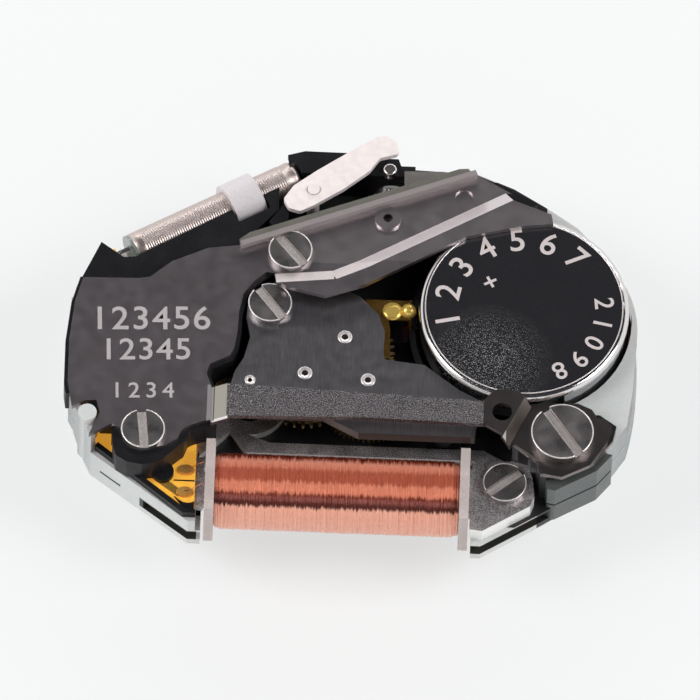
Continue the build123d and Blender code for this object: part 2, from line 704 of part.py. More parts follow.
# Minute pinion: small pinion on its post, with a hub for the minute wheel
with BuildPart() as minute_pinion:
    leaf_low = hour_wheel_low - leaf_spare
    minute_hub_radius = post_radius + 4 * running
    toothed(minute_place, minute_leaves, hour_module, leaf_low, minute_wheel_low, 0)
    disc(minute_place, minute_hub_radius, minute_wheel_low, minute_wheel_low + wheel_thick + running)
    disc(minute_place, post_radius + running, leaf_low - overrun, web_bottom, Mode.SUBTRACT)
minute_pinion.part.label = "minute_pinion"
export_step(minute_pinion.part, "parts/minute_pinion.step")

# Minute wheel: driven by the cannon pinion
with BuildPart() as minute_wheel:
    train_wheel(minute_place, minute_teeth, cannon_module, minute_wheel_low, minute_turn,
                minute_hub_radius, 4)
minute_wheel.part.label = "minute_wheel"
export_step(minute_wheel.part, "parts/minute_wheel.step")

# Setting wheel: carries the crown's turning to the minute wheel
setting_turn = mesh_turn(minute_teeth, minute_turn, setting_direction, setting_teeth)
with BuildPart() as setting_wheel:
    train_wheel(setting_place, setting_teeth, cannon_module, minute_wheel_low, setting_turn,
                post_radius + running, 0)
setting_wheel.part.label = "setting_wheel"
export_step(setting_wheel.part, "parts/setting_wheel.step")

# Seconds arbor: shaft through the cannon pinion, with the fourth pinion's leaves and the second hand's seat
arbor_high = bridge_bottom - shoulder_gap
arbor_low = web_top + shoulder_gap
pivot_high = bridge_bottom + pivot_depth
pivot_low = web_top - plate_pivot_depth
with BuildPart() as seconds_arbor:
    leaf_low, leaf_high = tooth_span(third_wheel_low)
    disc(hands, second_seat_radius, -second_seat_drop, -second_seat_start)
    disc(hands, second_shaft_radius, -second_seat_start, leaf_low)
    toothed(hands, fourth_leaves, fourth_module, leaf_low, leaf_high, 0)
    disc(hands, arbor_radius, leaf_high, arbor_high)
    disc(hands, pivot_radius, arbor_high, pivot_high)
seconds_arbor.part.label = "seconds_arbor"
export_step(seconds_arbor.part, "parts/seconds_arbor.step")

# Fourth wheel: carried by the seconds arbor, once round in a minute
with BuildPart() as fourth_wheel:
    train_wheel(hands, fourth_teeth, fifth_module, fourth_wheel_low, 0, arbor_radius, 5)
fourth_wheel.part.label = "fourth_wheel"
export_step(fourth_wheel.part, "parts/fourth_wheel.step")

# Third pinion: meshes with the centre wheel
with BuildPart() as third_pinion:
    leaf_low, leaf_high = tooth_span(centre_wheel_low)
    disc(third_place, pivot_radius, pivot_low, leaf_low)
    toothed(third_place, third_leaves, third_module, leaf_low, leaf_high, 0)
    disc(third_place, arbor_radius, leaf_high, third_wheel_low + wheel_thick + leaf_spare)
    disc(third_place, pivot_radius, third_wheel_low + wheel_thick + leaf_spare, pivot_high)
third_pinion.part.label = "third_pinion"
export_step(third_pinion.part, "parts/third_pinion.step")

# Third wheel: driven by the fourth pinion
third_turn = mesh_turn(fourth_leaves, 0, third_direction, third_teeth)
with BuildPart() as third_wheel:
    train_wheel(third_place, third_teeth, fourth_module, third_wheel_low, third_turn, arbor_radius, 5)
third_wheel.part.label = "third_wheel"
export_step(third_wheel.part, "parts/third_wheel.step")

# Fifth pinion: drives the fourth wheel
fifth_turn = mesh_turn(fourth_teeth, 0, fifth_direction, fifth_leaves)
with BuildPart() as fifth_pinion:
    leaf_low, leaf_high = tooth_span(fourth_wheel_low)
    disc(fifth_place, pivot_radius, pivot_low, arbor_low)
    disc(fifth_place, arbor_radius, arbor_low, arbor_high)
    toothed(fifth_place, fifth_leaves, fifth_module, leaf_low, leaf_high, fifth_turn)
    disc(fifth_place, pivot_radius, arbor_high, pivot_high)
fifth_pinion.part.label = "fifth_pinion"
export_step(fifth_pinion.part, "parts/fifth_pinion.step")

# Fifth wheel: driven by the rotor
with BuildPart() as fifth_wheel:
    train_wheel(fifth_place, fifth_teeth, rotor_module, fifth_wheel_low, 0, arbor_radius, 5)
fifth_wheel.part.label = "fifth_wheel"
export_step(fifth_wheel.part, "parts/fifth_wheel.step")

# Rotor pinion: the stepping motor's shaft
rotor_turn = mesh_turn(fifth_teeth, 0, rotor_direction, rotor_leaves)
with BuildPart() as rotor_pinion:
    leaf_low, leaf_high = tooth_span(fifth_wheel_low)
    disc(rotor_place, pivot_radius, pivot_low, arbor_low)
    disc(rotor_place, arbor_radius, arbor_low, arbor_high)
    toothed(rotor_place, rotor_leaves, rotor_module, leaf_low, leaf_high, rotor_turn)
    disc(rotor_place, pivot_radius, arbor_high, pivot_high)
rotor_pinion.part.label = "rotor_pinion"
export_step(rotor_pinion.part, "parts/rotor_pinion.step")

# Rotor magnet: the magnetised ring on the rotor's shaft
with BuildPart() as rotor_magnet:
    disc(rotor_place, magnet_radius, arbor_low, arbor_low + magnet_high)
    disc(rotor_place, arbor_radius, arbor_low - overrun, arbor_low + overrun, Mode.SUBTRACT)
rotor_magnet.part.label = "rotor_magnet"
export_step(rotor_magnet.part, "parts/rotor_magnet.step")


def coil_room(low, high):
    """Cut the bobbin's span, between the outer faces of its flanges, out of the piece being made."""
    block((notch_left + wall_gap / 2, -half_width - overrun), (notch_right - wall_gap / 2, notch_back),
          low, high, Mode.SUBTRACT)


# Stator: the soft-iron plate round the rotor, with an arm to each end of the coil
with BuildPart() as stator:
    disc(rotor_place, stator_ring, web_top, core_low)
    layer(spots(stator_left_shares), web_top, core_low)
    layer(spots(stator_right_shares), web_top, core_low)
    layer(spots(right_tab_shares), web_top, core_low)
    disc(rotor_place, stator_bore, web_top - overrun, core_low + overrun, Mode.SUBTRACT)
    disc(coil_screw, screw_shank_radius, web_top - overrun, core_low + overrun, Mode.SUBTRACT)
    coil_room(web_top - overrun, core_low + overrun)
stator.part.label = "stator"
export_step(stator.part, "parts/stator.step")

# Coil core: the flat iron bar through the coil, with a tab at each end
with BuildPart() as coil_core:
    layer(spots(right_tab_shares), core_low, core_top)
    layer(spots(left_tab_shares), core_low, core_top)
    coil_room(core_low - overrun, core_top + overrun)
    block((notch_left - wall_gap, -coil_back - core_width / 2),
          (notch_right + wall_gap, -coil_back + core_width / 2), core_low, core_top)
    disc(coil_screw, screw_shank_radius + running, core_low - overrun, core_top + overrun, Mode.SUBTRACT)
coil_core.part.label = "coil_core"
export_step(coil_core.part, "parts/coil_core.step")


def coil_section(x, width, high, level, length, mode=Mode.ADD, rounding=0):
    """A bar along the coil's axis with a rectangular section, from a plan X."""
    with BuildSketch(Plane.YZ.offset(x)) as section:
        with Locations((-coil_back, level)):
            if rounding:
                RectangleRounded(width, high, rounding)
            else:
                Rectangle(width, high)
    extrude(section.sketch, amount=length, mode=mode)


# Coil bobbin: clear plastic tube with a flange at each end
winding_left = notch_left + wall_gap + flange_thick
winding_right = winding_left + winding_length
tube_width = core_width + 2 * bobbin_wall
tube_high = core_thick + 2 * bobbin_wall
with BuildPart() as coil_bobbin:
    coil_section(winding_left - flange_thick, flange_width, flange_high, flange_level, flange_thick)
    coil_section(winding_right, flange_width, flange_high, flange_level, flange_thick)
    coil_section(winding_left, tube_width, tube_high, coil_level, winding_length)
    coil_section(winding_left - overrun, core_width + 2 * running, core_thick + 2 * running, coil_level,
                 winding_length + 2 * overrun, Mode.SUBTRACT)
coil_bobbin.part.label = "coil_bobbin"
export_step(coil_bobbin.part, "parts/coil_bobbin.step")

# Coil winding: the body of fine copper wire, whose single turns are too thin to show
with BuildPart() as coil_winding:
    coil_section(winding_left, winding_width, winding_high, coil_level, winding_length,
                 rounding=winding_round)
    coil_section(winding_left, tube_width, tube_high, coil_level, winding_length, Mode.SUBTRACT)
coil_winding.part.label = "coil_winding"
export_step(coil_winding.part, "parts/coil_winding.step")

# Circuit board: thin amber film on the left block, with a tongue for the crystal's leads
with BuildPart() as circuit_board:
    layer(spots(board_shares), board_seat, board_top)
    lead_seat(board_seat, board_top, 0)
    disc(left_screw, screw_shank_radius + side_gap, board_seat - overrun, board_top + overrun, Mode.SUBTRACT)
    disc(peg_place, peg_radius + side_gap, board_seat - overrun, board_top + overrun, Mode.SUBTRACT)
circuit_board.part.label = "circuit_board"
export_step(circuit_board.part, "parts/circuit_board.step")

# Circuit tracks: copper strips on the board
spacer_low = board_top + track_thick
with BuildPart() as circuit_tracks:
    for track in track_shares:
        layer(spots(track), board_top, spacer_low)
circuit_tracks.part.label = "circuit_tracks"
export_step(circuit_tracks.part, "parts/circuit_tracks.step")

# Solder pads: where the two ends of the winding meet the board
with BuildPart() as coil_terminals:
    for share in pad_shares:
        with BuildSketch(Plane.XY.offset(board_top)) as pad_outline:
            with Locations(spot(share)):
                Ellipse(pad_long, pad_short)
        extrude(pad_outline.sketch, amount=pad_high, taper=pad_taper)
coil_terminals.part.label = "coil_terminals"
export_step(coil_terminals.part, "parts/coil_terminals.step")

# Integrated circuit chip: under the spacer, on the board
chip_place = spot(chip_share)
with BuildPart() as ic_chip:
    with BuildSketch(Plane.XY.offset(board_top)):
        with Locations(chip_place):
            Rectangle(chip_side, chip_side)
    extrude(amount=chip_high)
ic_chip.part.label = "ic_chip"
export_step(ic_chip.part, "parts/ic_chip.step")

# Circuit spacer: black moulding between the board and the cover plate, with the crystal's cradle
left_body_shares = cover_left_shares + cover_gap_shares + cover_front_shares
with BuildPart() as circuit_spacer:
    with BuildSketch(Plane.XY.offset(spacer_low)):
        with BuildLine():
            Polyline(*spots(left_body_shares), close=True)
        make_face()
        offset(amount=spacer_proud, kind=Kind.INTERSECTION)
    extrude(amount=cover_bottom - spacer_low)
    layer(spots(spacer_lobe_shares), spacer_low, cover_bottom)
    layer(spots(spacer_cut_shares), spacer_low - overrun, cover_top, Mode.SUBTRACT)
    disc(spot(boss_share), boss_radius, spacer_low, spacer_low + rail_high)
    layer(spots(spacer_rear_shares), spacer_low, crystal_level + crystal_radius)
    layer(spots(spacer_leg_shares), web_top, cover_bottom)
    layer(spots(spacer_rail_shares), board_seat, spacer_low + rail_high)
    with BuildSketch(Plane.XY.offset(spacer_low - overrun)) as chip_room:
        with Locations(chip_place):
            Rectangle(chip_side + 2 * side_gap, chip_side + 2 * side_gap)
    extrude(chip_room.sketch, amount=overrun + chip_high + side_gap, mode=Mode.SUBTRACT)
    clear_crystal(side_gap)
    lead_seat(board_seat, crystal_level + lead_radius + side_gap, wall_gap, Mode.SUBTRACT)
    clip_room(clip_width + 2 * side_gap, crystal_radius + clip_wall + side_gap, web_top, cover_top,
              Mode.SUBTRACT)
    disc(left_screw, screw_shank_radius + running, spacer_low - overrun, cover_top, Mode.SUBTRACT)
    disc(rear_screw, screw_shank_radius + running, web_top - overrun, cover_top, Mode.SUBTRACT)
    disc(peg_place, peg_radius + side_gap, board_top - overrun, cover_top, Mode.SUBTRACT)
circuit_spacer.part.label = "circuit_spacer"
export_step(circuit_spacer.part, "parts/circuit_spacer.step")


def ramp(start, end, run, low_start, low_end):
    """A sloping strip of the sheet along an edge, changing level towards the left of the way walked."""
    length = hypot(end[0] - start[0], end[1] - start[1])
    along = ((end[0] - start[0]) / length, (end[1] - start[1]) / length)
    profile = [(-lap, low_start), (0, low_start), (run, low_end), (run + lap, low_end),
               (run + lap, low_end + cover_thick), (run, low_end + cover_thick), (0, low_start + cover_thick),
               (-lap, low_start + cover_thick)]
    across = (-along[1], along[0], 0)
    plane = Plane(origin=(start[0], start[1], 0), x_dir=across, z_dir=(along[0], along[1], 0))
    with BuildSketch(plane) as section:
        with BuildLine():
            Polyline(*profile, close=True)
        make_face()
    extrude(section.sketch, amount=length + mitre)


def beside(points, run):
    """A line drawn beside another, at a distance to the left of the way walked."""
    moved = []
    for number, point in enumerate(points):
        before, after = points[max(number - 1, 0)], points[min(number + 1, len(points) - 1)]
        length = hypot(after[0] - before[0], after[1] - before[1])
        moved.append((point[0] - run * (after[1] - before[1]) / length,
                      point[1] + run * (after[0] - before[0]) / length))
    return moved


# Cover plate: one stamping, with the left body, the rear arm and its flange, and the strap along the coil
cover_body_shares = (cover_left_shares + cover_arm_shares + cover_ramp_shares + cover_gap_shares
                     + cover_front_shares)
with BuildPart() as cover_plate:
    layer(spots(cover_body_shares), cover_bottom, cover_top)
    layer(beside(spots(cover_ramp_shares), ramp_run) + spots(flange_shares), strap_bottom,
          strap_bottom + cover_thick)
    layer(spots(strap_shares), strap_bottom, strap_bottom + cover_thick)
    layer(spots(strap_end_shares), clamp_bottom, clamp_bottom + cover_thick)
    for near, far in zip(spots(cover_ramp_shares[:-1]), spots(cover_ramp_shares[1:])):
        ramp(near, far, ramp_run, cover_bottom, strap_bottom)
    ramp(spot(strap_root_shares[0]), spot(strap_root_shares[1]), ramp_run, cover_bottom, strap_bottom)
    ramp(spot(strap_shares[5]), spot(strap_shares[6]), bend_run, strap_bottom, clamp_bottom)
    # the upturned edge along the rear arm
    arm_start = spot(cover_left_shares[-1])
    arm_end = spot(cover_arm_shares[0])
    arm_length = hypot(arm_end[0] - arm_start[0], arm_end[1] - arm_start[1])
    inward = (cover_thick * (arm_end[1] - arm_start[1]) / arm_length,
              cover_thick * (arm_start[0] - arm_end[0]) / arm_length)
    layer([arm_start, arm_end, (arm_end[0] + inward[0], arm_end[1] + inward[1]),
           (arm_start[0] + inward[0], arm_start[1] + inward[1])], cover_bottom, cover_top + edge_rise)
    # the drawn ring and the dimple on the arm, and the holes
    disc(spot(ring_share), rim_ring_radius, cover_top, cover_top + ring_rise)
    disc(spot(ring_share), rim_ring_bore, cover_bottom - overrun, cover_top + overrun, Mode.SUBTRACT)
    disc(spot(dimple_share), dimple_radius, cover_top - dimple_depth, cover_top + overrun, Mode.SUBTRACT)
    disc(spot(strap_hole_share), strap_hole_radius, clamp_bottom, cover_top + overrun, Mode.SUBTRACT)
    for place in [left_screw, rear_screw]:
        disc(place, screw_shank_radius + side_gap, cover_bottom - overrun, cover_top + overrun, Mode.SUBTRACT)
    disc(clamp_screw, clamp_shank_radius + side_gap, clamp_bottom - overrun, cover_top, Mode.SUBTRACT)
    disc(peg_place, peg_radius + side_gap, cover_bottom - overrun, cover_top + overrun, Mode.SUBTRACT)
    disc(cell_place, cell_radius + side_gap, clamp_bottom - overrun, cell_top + running, Mode.SUBTRACT)
cover_plate.part.label = "cover_plate"
export_step(cover_plate.part, "parts/cover_plate.step")

# Clamp plate: the second sheet under the strap's end
with BuildPart() as clamp_plate:
    layer(spots(clamp_shares), clamp_bottom - cover_thick, clamp_bottom)
    disc(clamp_screw, clamp_shank_radius + side_gap, clamp_bottom - overrun, clamp_bottom + overrun,
         Mode.SUBTRACT)
    clear_cell(clamp_bottom - overrun, side_gap)
clamp_plate.part.label = "clamp_plate"
export_step(clamp_plate.part, "parts/clamp_plate.step")

# Contact block: grey block at the front right, in two layers with a groove between
with BuildPart() as contact_block:
    layer(spots(block_shares), block_low, block_top)
    groove_middle = (block_low + block_top) / 2
    with BuildSketch(Plane.XY.offset(groove_middle - block_groove / 2)) as groove_ring:
        with BuildLine():
            Polyline(*spots(block_shares), close=True)
        make_face()
        offset(amount=-block_groove, kind=Kind.INTERSECTION, mode=Mode.SUBTRACT)
    extrude(groove_ring.sketch, amount=block_groove, mode=Mode.SUBTRACT)
contact_block.part.label = "contact_block"
export_step(contact_block.part, "parts/contact_block.step")

# Train bridge: steel plate over the wheels
with BuildPart() as train_bridge:
    layer(spots(bridge_shares), bridge_bottom, bridge_top)
    for place in [hands] + train_places:
        disc(place, bush_radius, bridge_bottom - overrun, bridge_top + overrun, Mode.SUBTRACT)
    for place in [bridge_screw, bridge_foot]:
        disc(place, screw_shank_radius + running, bridge_bottom - overrun, bridge_top + overrun,
             Mode.SUBTRACT)
    clear_cell(bridge_bottom - overrun, side_gap)
train_bridge.part.label = "train_bridge"
export_step(train_bridge.part, "parts/train_bridge.step")

# Bridge bushes: the rings that the upper pivots turn in
with BuildPart() as bridge_bushes:
    for place in [hands] + train_places:
        disc(place, bush_radius, bridge_bottom, bridge_top)
        disc(place, pivot_radius + running, bridge_bottom - overrun, bridge_top + overrun, Mode.SUBTRACT)
bridge_bushes.part.label = "bridge_bushes"
export_step(bridge_bushes.part, "parts/bridge_bushes.step")

# Bridge pin: the dowel that places the bridge at its front right
with BuildPart() as bridge_pin:
    disc(bridge_foot, screw_shank_radius, web_bottom + shank_floor, bridge_top)
bridge_pin.part.label = "bridge_pin"
export_step(bridge_pin.part, "parts/bridge_pin.step")

# Screws, each on its own seat
with BuildPart() as cover_screws:
    for place, turn in [(left_screw, 96), (rear_screw, 130)]:
        slotted_screw(place, screw_head_radius, cover_top, screw_shank_radius, web_bottom + shank_floor, turn,
                      screw_head_high)
cover_screws.part.label = "cover_screws"
export_step(cover_screws.part, "parts/cover_screws.step")

with BuildPart() as bridge_screw_part:
    slotted_screw(bridge_screw, screw_head_radius, bridge_top, screw_shank_radius,
                  web_bottom + shank_floor, 128, screw_head_high)
bridge_screw_part.part.label = "bridge_screw"
export_step(bridge_screw_part.part, "parts/bridge_screw.step")

with BuildPart() as coil_screw_part:
    slotted_screw(coil_screw, screw_head_radius, core_top, screw_shank_radius, web_bottom + shank_floor, 40,
                  screw_head_high)
coil_screw_part.part.label = "coil_screw"
export_step(coil_screw_part.part, "parts/coil_screw.step")

with BuildPart() as clamp_screw_part:
    slotted_screw(clamp_screw, clamp_head_radius, clamp_bottom + cover_thick, clamp_shank_radius,
                  web_bottom + shank_floor, 125, clamp_head_high)
clamp_screw_part.part.label = "clamp_screw"
export_step(clamp_screw_part.part, "parts/clamp_screw.step")

# Cell: steel can, sealing gasket, the cap on its underside and the filling
with BuildPart() as cell_can:
    disc(cell_place, cell_radius, cell_bottom + can_lift, cell_top)
    fillet(cell_can.edges().sort_by(Axis.Z)[-1], radius=cell_shoulder)
    disc(cell_place, cell_radius - cell_wall, cell_bottom - overrun, cell_top - cell_wall, Mode.SUBTRACT)
cell_can.part.label = "cell_can"
export_step(cell_can.part, "parts/cell_can.step")

with BuildPart() as cell_gasket:
    disc(cell_place, cell_radius - cell_wall, cell_bottom + can_lift / 2, cell_top - cell_wall)
    disc(cell_place, cap_radius, cell_bottom, cell_top, Mode.SUBTRACT)
cell_gasket.part.label = "cell_gasket"
export_step(cell_gasket.part, "parts/cell_gasket.step")

fill_top = cell_top - cell_wall - side_gap
with BuildPart() as cell_cap:
    disc(cell_place, cap_radius, cell_bottom, fill_top)
    disc(cell_place, cap_radius - cell_wall, cell_bottom + cell_wall, cell_top, Mode.SUBTRACT)
cell_cap.part.label = "cell_cap"
export_step(cell_cap.part, "parts/cell_cap.step")

with BuildPart() as cell_filling:
    disc(cell_place, cap_radius - cell_wall, cell_bottom + cell_wall, fill_top)
cell_filling.part.label = "cell_filling"
export_step(cell_filling.part, "parts/cell_filling.step")

# Cell insulator: thin ring on the floor below the cell's edge
with BuildPart() as cell_insulator:
    disc(cell_place, cell_radius, cell_floor, cell_bottom)
    disc(cell_place, cap_radius + side_gap, cell_floor - overrun, cell_bottom + overrun, Mode.SUBTRACT)
    block((cell_place[0] - 2 * cell_radius, contact_y - side_gap),
          (cell_place[0], contact_y + contact_width + side_gap), cell_floor - overrun,
          cell_bottom + overrun, Mode.SUBTRACT)
cell_insulator.part.label = "cell_insulator"
export_step(cell_insulator.part, "parts/cell_insulator.step")

# Negative contact: gilt spring from under the bridge, down beside the cell and along its floor
leg_x = cell_place[0] - cell_radius - 3 * wall_gap
with BuildPart() as negative_contact:
    block((leg_x, contact_y), (cell_place[0], contact_y + contact_width), cell_floor, cell_bottom)
    block((leg_x, contact_y), (leg_x + contact_thick, contact_y + contact_width), cell_floor, bridge_bottom)
    layer(spots(contact_shares), bridge_bottom - contact_thick, bridge_bottom)
negative_contact.part.label = "negative_contact"
export_step(negative_contact.part, "parts/negative_contact.step")


def crystal_bar(start, radius, length, side=0, mode=Mode.ADD):
    """A round bar along the crystal's axis, from a distance past its start, set to one side."""
    base = step(step(crystal_start, start, crystal_direction), side, crystal_direction + 90)
    axis = (cos(radians(crystal_direction)), sin(radians(crystal_direction)), 0)
    with BuildSketch(Plane(origin=(base[0], base[1], crystal_level), z_dir=axis)) as section:
        Circle(radius)
    extrude(section.sketch, amount=length, mode=mode)


# Crystal: metal can with a rounded end, glass-sealed base, leads and the quartz fork inside
with BuildPart() as crystal_can:
    crystal_bar(0, crystal_radius, crystal_length)
    fillet(crystal_can.edges().sort_by(Axis.X)[-1], radius=crystal_round)
    crystal_bar(-overrun, crystal_radius - crystal_wall, crystal_length + overrun - crystal_wall,
                mode=Mode.SUBTRACT)
crystal_can.part.label = "crystal_can"
export_step(crystal_can.part, "parts/crystal_can.step")

with BuildPart() as crystal_base:
    crystal_bar(0, crystal_radius - crystal_wall, crystal_base_length)
    crystal_bar(-crystal_wall, crystal_radius, crystal_wall)
    for side in [-lead_spacing / 2, lead_spacing / 2]:
        crystal_bar(-overrun, lead_radius, crystal_base_length + 2 * overrun, side, Mode.SUBTRACT)
crystal_base.part.label = "crystal_base"
export_step(crystal_base.part, "parts/crystal_base.step")

with BuildPart() as crystal_leads:
    for side in [-lead_spacing / 2, lead_spacing / 2]:
        crystal_bar(-crystal_base_length - lead_length, lead_radius,
                    2 * crystal_base_length + lead_length, side)
crystal_leads.part.label = "crystal_leads"
export_step(crystal_leads.part, "parts/crystal_leads.step")

with BuildPart() as quartz_fork:
    fork_middle = step(crystal_start, crystal_base_length + fork_length / 2, crystal_direction)
    slot_middle = step(fork_middle, (fork_length - fork_slot_length) / 2, crystal_direction)
    with BuildSketch(Plane.XY.offset(crystal_level - fork_thick / 2)):
        with Locations(Location((fork_middle[0], fork_middle[1], 0), crystal_direction)):
            Rectangle(fork_length, fork_width)
        with Locations(Location((slot_middle[0], slot_middle[1], 0), crystal_direction)):
            Rectangle(fork_slot_length, fork_slot_width, mode=Mode.SUBTRACT)
    extrude(amount=fork_thick)
quartz_fork.part.label = "quartz_fork"
export_step(quartz_fork.part, "parts/quartz_fork.step")

# Crystal clip: pale arch that holds the can down on the plate
with BuildPart() as crystal_clip:
    clip_start = step(crystal_start, clip_share * crystal_length - clip_width / 2, crystal_direction)
    clip_reach = crystal_radius + clip_wall
    clip_across = (-sin(radians(crystal_direction)), cos(radians(crystal_direction)), 0)
    clip_along = (cos(radians(crystal_direction)), sin(radians(crystal_direction)), 0)
    clip_plane = Plane(origin=(clip_start[0], clip_start[1], 0), x_dir=clip_across, z_dir=clip_along)
    with BuildSketch(clip_plane):
        with BuildLine():
            Polyline((-clip_reach, crystal_level), (-clip_reach, web_top), (clip_reach, web_top),
                     (clip_reach, crystal_level))
            ThreePointArc((-clip_reach, crystal_level), (0, crystal_level + clip_reach),
                          (clip_reach, crystal_level))
        make_face()
        with Locations((0, crystal_level)):
            Circle(crystal_radius, mode=Mode.SUBTRACT)
    extrude(amount=clip_width)
crystal_clip.part.label = "crystal_clip"
export_step(crystal_clip.part, "parts/crystal_clip.step")


def stem_bar(start, radius, length, mode=Mode.ADD):
    """A round bar along the stem's axis, from a plan Y towards the rear."""
    with BuildSketch(Plane(origin=(stem_x, start, stem_level), z_dir=(0, 1, 0))) as section:
        Circle(radius)
    extrude(section.sketch, amount=length, mode=mode)


# Clutch wheel: slides on the stem, with crown teeth at its front and a groove for the yoke
groove_start = clutch_back + clutch_length * groove_share
with BuildPart() as clutch_wheel:
    stem_bar(clutch_back, clutch_radius, clutch_length)
    with BuildSketch(Plane(origin=(stem_x, clutch_back, stem_level), z_dir=(0, 1, 0))) as crown_gaps:
        with PolarLocations((clutch_radius + clutch_groove_radius) / 2, clutch_teeth):
            Rectangle(clutch_radius, clutch_tooth_wide)
    extrude(crown_gaps.sketch, amount=clutch_tooth_deep, mode=Mode.SUBTRACT)
    with BuildSketch(Plane(origin=(stem_x, groove_start, stem_level), z_dir=(0, 1, 0))) as groove_band:
        Circle(clutch_radius + overrun)
        Circle(clutch_groove_radius, mode=Mode.SUBTRACT)
    extrude(groove_band.sketch, amount=clutch_groove, mode=Mode.SUBTRACT)
    stem_bar(clutch_back - overrun, clutch_bore, clutch_length + 2 * overrun, Mode.SUBTRACT)
clutch_wheel.part.label = "clutch_wheel"
export_step(clutch_wheel.part, "parts/clutch_wheel.step")

# Yoke and its post: the fork that moves the clutch wheel
yoke_place = spot(yoke_post_share)
with BuildPart() as yoke_post:
    disc(yoke_place, pin_radius, web_top, yoke_low + yoke_thick + side_gap)
yoke_post.part.label = "yoke_post"
export_step(yoke_post.part, "parts/yoke_post.step")

tip_x = stem_x - clutch_groove_radius - yoke_tip_gap
tip_low = groove_start + clutch_groove / 2 - yoke_tip_half
tip_high = tip_low + 2 * yoke_tip_half
with BuildPart() as yoke:
    disc(yoke_place, 2 * pin_radius, yoke_low, yoke_low + yoke_thick)
    layer([step(yoke_place, 2 * pin_radius, -60), (tip_x - yoke_finger, tip_low), (tip_x, tip_low),
           (tip_x, tip_high), (tip_x - yoke_finger, tip_high), step(yoke_place, 2 * pin_radius, 120)],
          yoke_low, yoke_low + yoke_thick)
    disc(yoke_place, pin_radius + running, yoke_low - overrun, yoke_low + overrun, Mode.SUBTRACT)
yoke.part.label = "yoke"
export_step(yoke.part, "parts/yoke.step")

# Setting lever and its pin: moved by the stem, it lies under the cover's rear arm
lever_place = spot(lever_pin_share)
with BuildPart() as lever_pin:
    disc(lever_place, pin_radius, web_top, lever_low + lever_thick + side_gap)
lever_pin.part.label = "lever_pin"
export_step(lever_pin.part, "parts/lever_pin.step")

with BuildPart() as setting_lever:
    layer(spots(lever_shares), lever_low, lever_low + lever_thick)
    fillet(setting_lever.edges().filter_by(Axis.Z), radius=lever_round)
    disc(lever_place, pin_radius + running, lever_low - overrun, lever_low + overrun, Mode.SUBTRACT)
setting_lever.part.label = "setting_lever"
export_step(setting_lever.part, "parts/setting_lever.step")

# Setting spring and release button, on the rear block
with BuildPart() as setting_spring:
    layer(spots(spring_shares), rear_block_top, rear_block_top + spring_thick)
setting_spring.part.label = "setting_spring"
export_step(setting_spring.part, "parts/setting_spring.step")

with BuildPart() as release_button:
    disc(spot(button_share), button_radius, rear_block_top, rear_block_top + button_high)
    fillet(release_button.edges().sort_by(Axis.Z)[-1], radius=button_radius / 3)
release_button.part.label = "release_button"
export_step(release_button.part, "parts/release_button.step")
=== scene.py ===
# %% [markdown]
# # A quartz watch movement, dressed for the camera
# The metal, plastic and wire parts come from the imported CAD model, in their places and in metres.
# This lesson gives each of them a finish, and adds the details that are too fine for the CAD: the
# coil's wire, the rings on the crystal's can, screw rims, stamped digits and the like.

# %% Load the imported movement
import math
import random

import bpy
from mathutils import Matrix, Vector


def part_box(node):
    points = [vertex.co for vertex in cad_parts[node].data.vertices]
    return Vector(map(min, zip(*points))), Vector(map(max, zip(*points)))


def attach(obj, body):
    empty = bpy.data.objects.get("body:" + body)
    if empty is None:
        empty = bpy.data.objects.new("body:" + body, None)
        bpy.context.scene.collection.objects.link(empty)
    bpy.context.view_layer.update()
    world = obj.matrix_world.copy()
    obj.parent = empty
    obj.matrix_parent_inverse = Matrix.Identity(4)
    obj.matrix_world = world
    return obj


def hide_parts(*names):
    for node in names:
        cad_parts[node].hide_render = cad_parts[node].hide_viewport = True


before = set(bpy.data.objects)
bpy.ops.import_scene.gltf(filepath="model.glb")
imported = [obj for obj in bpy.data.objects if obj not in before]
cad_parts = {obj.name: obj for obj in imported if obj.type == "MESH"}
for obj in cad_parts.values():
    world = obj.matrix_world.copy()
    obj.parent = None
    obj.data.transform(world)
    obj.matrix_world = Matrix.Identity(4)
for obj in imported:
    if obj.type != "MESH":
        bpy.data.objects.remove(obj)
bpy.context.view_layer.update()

MM = 0.001
scene = bpy.context.scene
scene.view_settings.view_transform = "Standard"
print("CAD nodes:", len(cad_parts))

# %% [markdown]
# ## The camera
# The picture shows almost no perspective: edges that run away from the lens stay parallel. So the camera
# stands far off with a very long lens. It looks down at 60 degrees and is rolled by about two degrees.
# The view's centre is a point just beside the hands' hole.

# %% Camera
CAMERA_ELEVATION = math.radians(60)
CAMERA_ROLL = math.radians(2.2)
CAMERA_DISTANCE = 900 * MM
CLIP_NEAR = 100 * MM
CLIP_FAR = 10
PIXELS_PER_MM = 31.0
FRAME_PIXELS = 700
VIEW_CENTRE = Vector((0.177, -0.477, 2.5)) * MM

towards = Vector((0, -math.cos(CAMERA_ELEVATION), math.sin(CAMERA_ELEVATION)))
level_up = Vector((0, math.sin(CAMERA_ELEVATION), math.cos(CAMERA_ELEVATION)))
right = math.cos(CAMERA_ROLL) * Vector((1, 0, 0)) + math.sin(CAMERA_ROLL) * level_up
up = towards.cross(right)
lens = bpy.data.cameras.new("macro_lens")
lens.lens = PIXELS_PER_MM * CAMERA_DISTANCE / MM / FRAME_PIXELS * lens.sensor_width
lens.clip_start = CLIP_NEAR
lens.clip_end = CLIP_FAR
camera = bpy.data.objects.new("macro_camera", lens)
scene.collection.objects.link(camera)
turn = Matrix((right, up, towards)).transposed().to_4x4()
camera.matrix_world = Matrix.Translation(VIEW_CENTRE + CAMERA_DISTANCE * towards) @ turn
scene.camera = camera
print("lens", round(lens.lens), "mm")

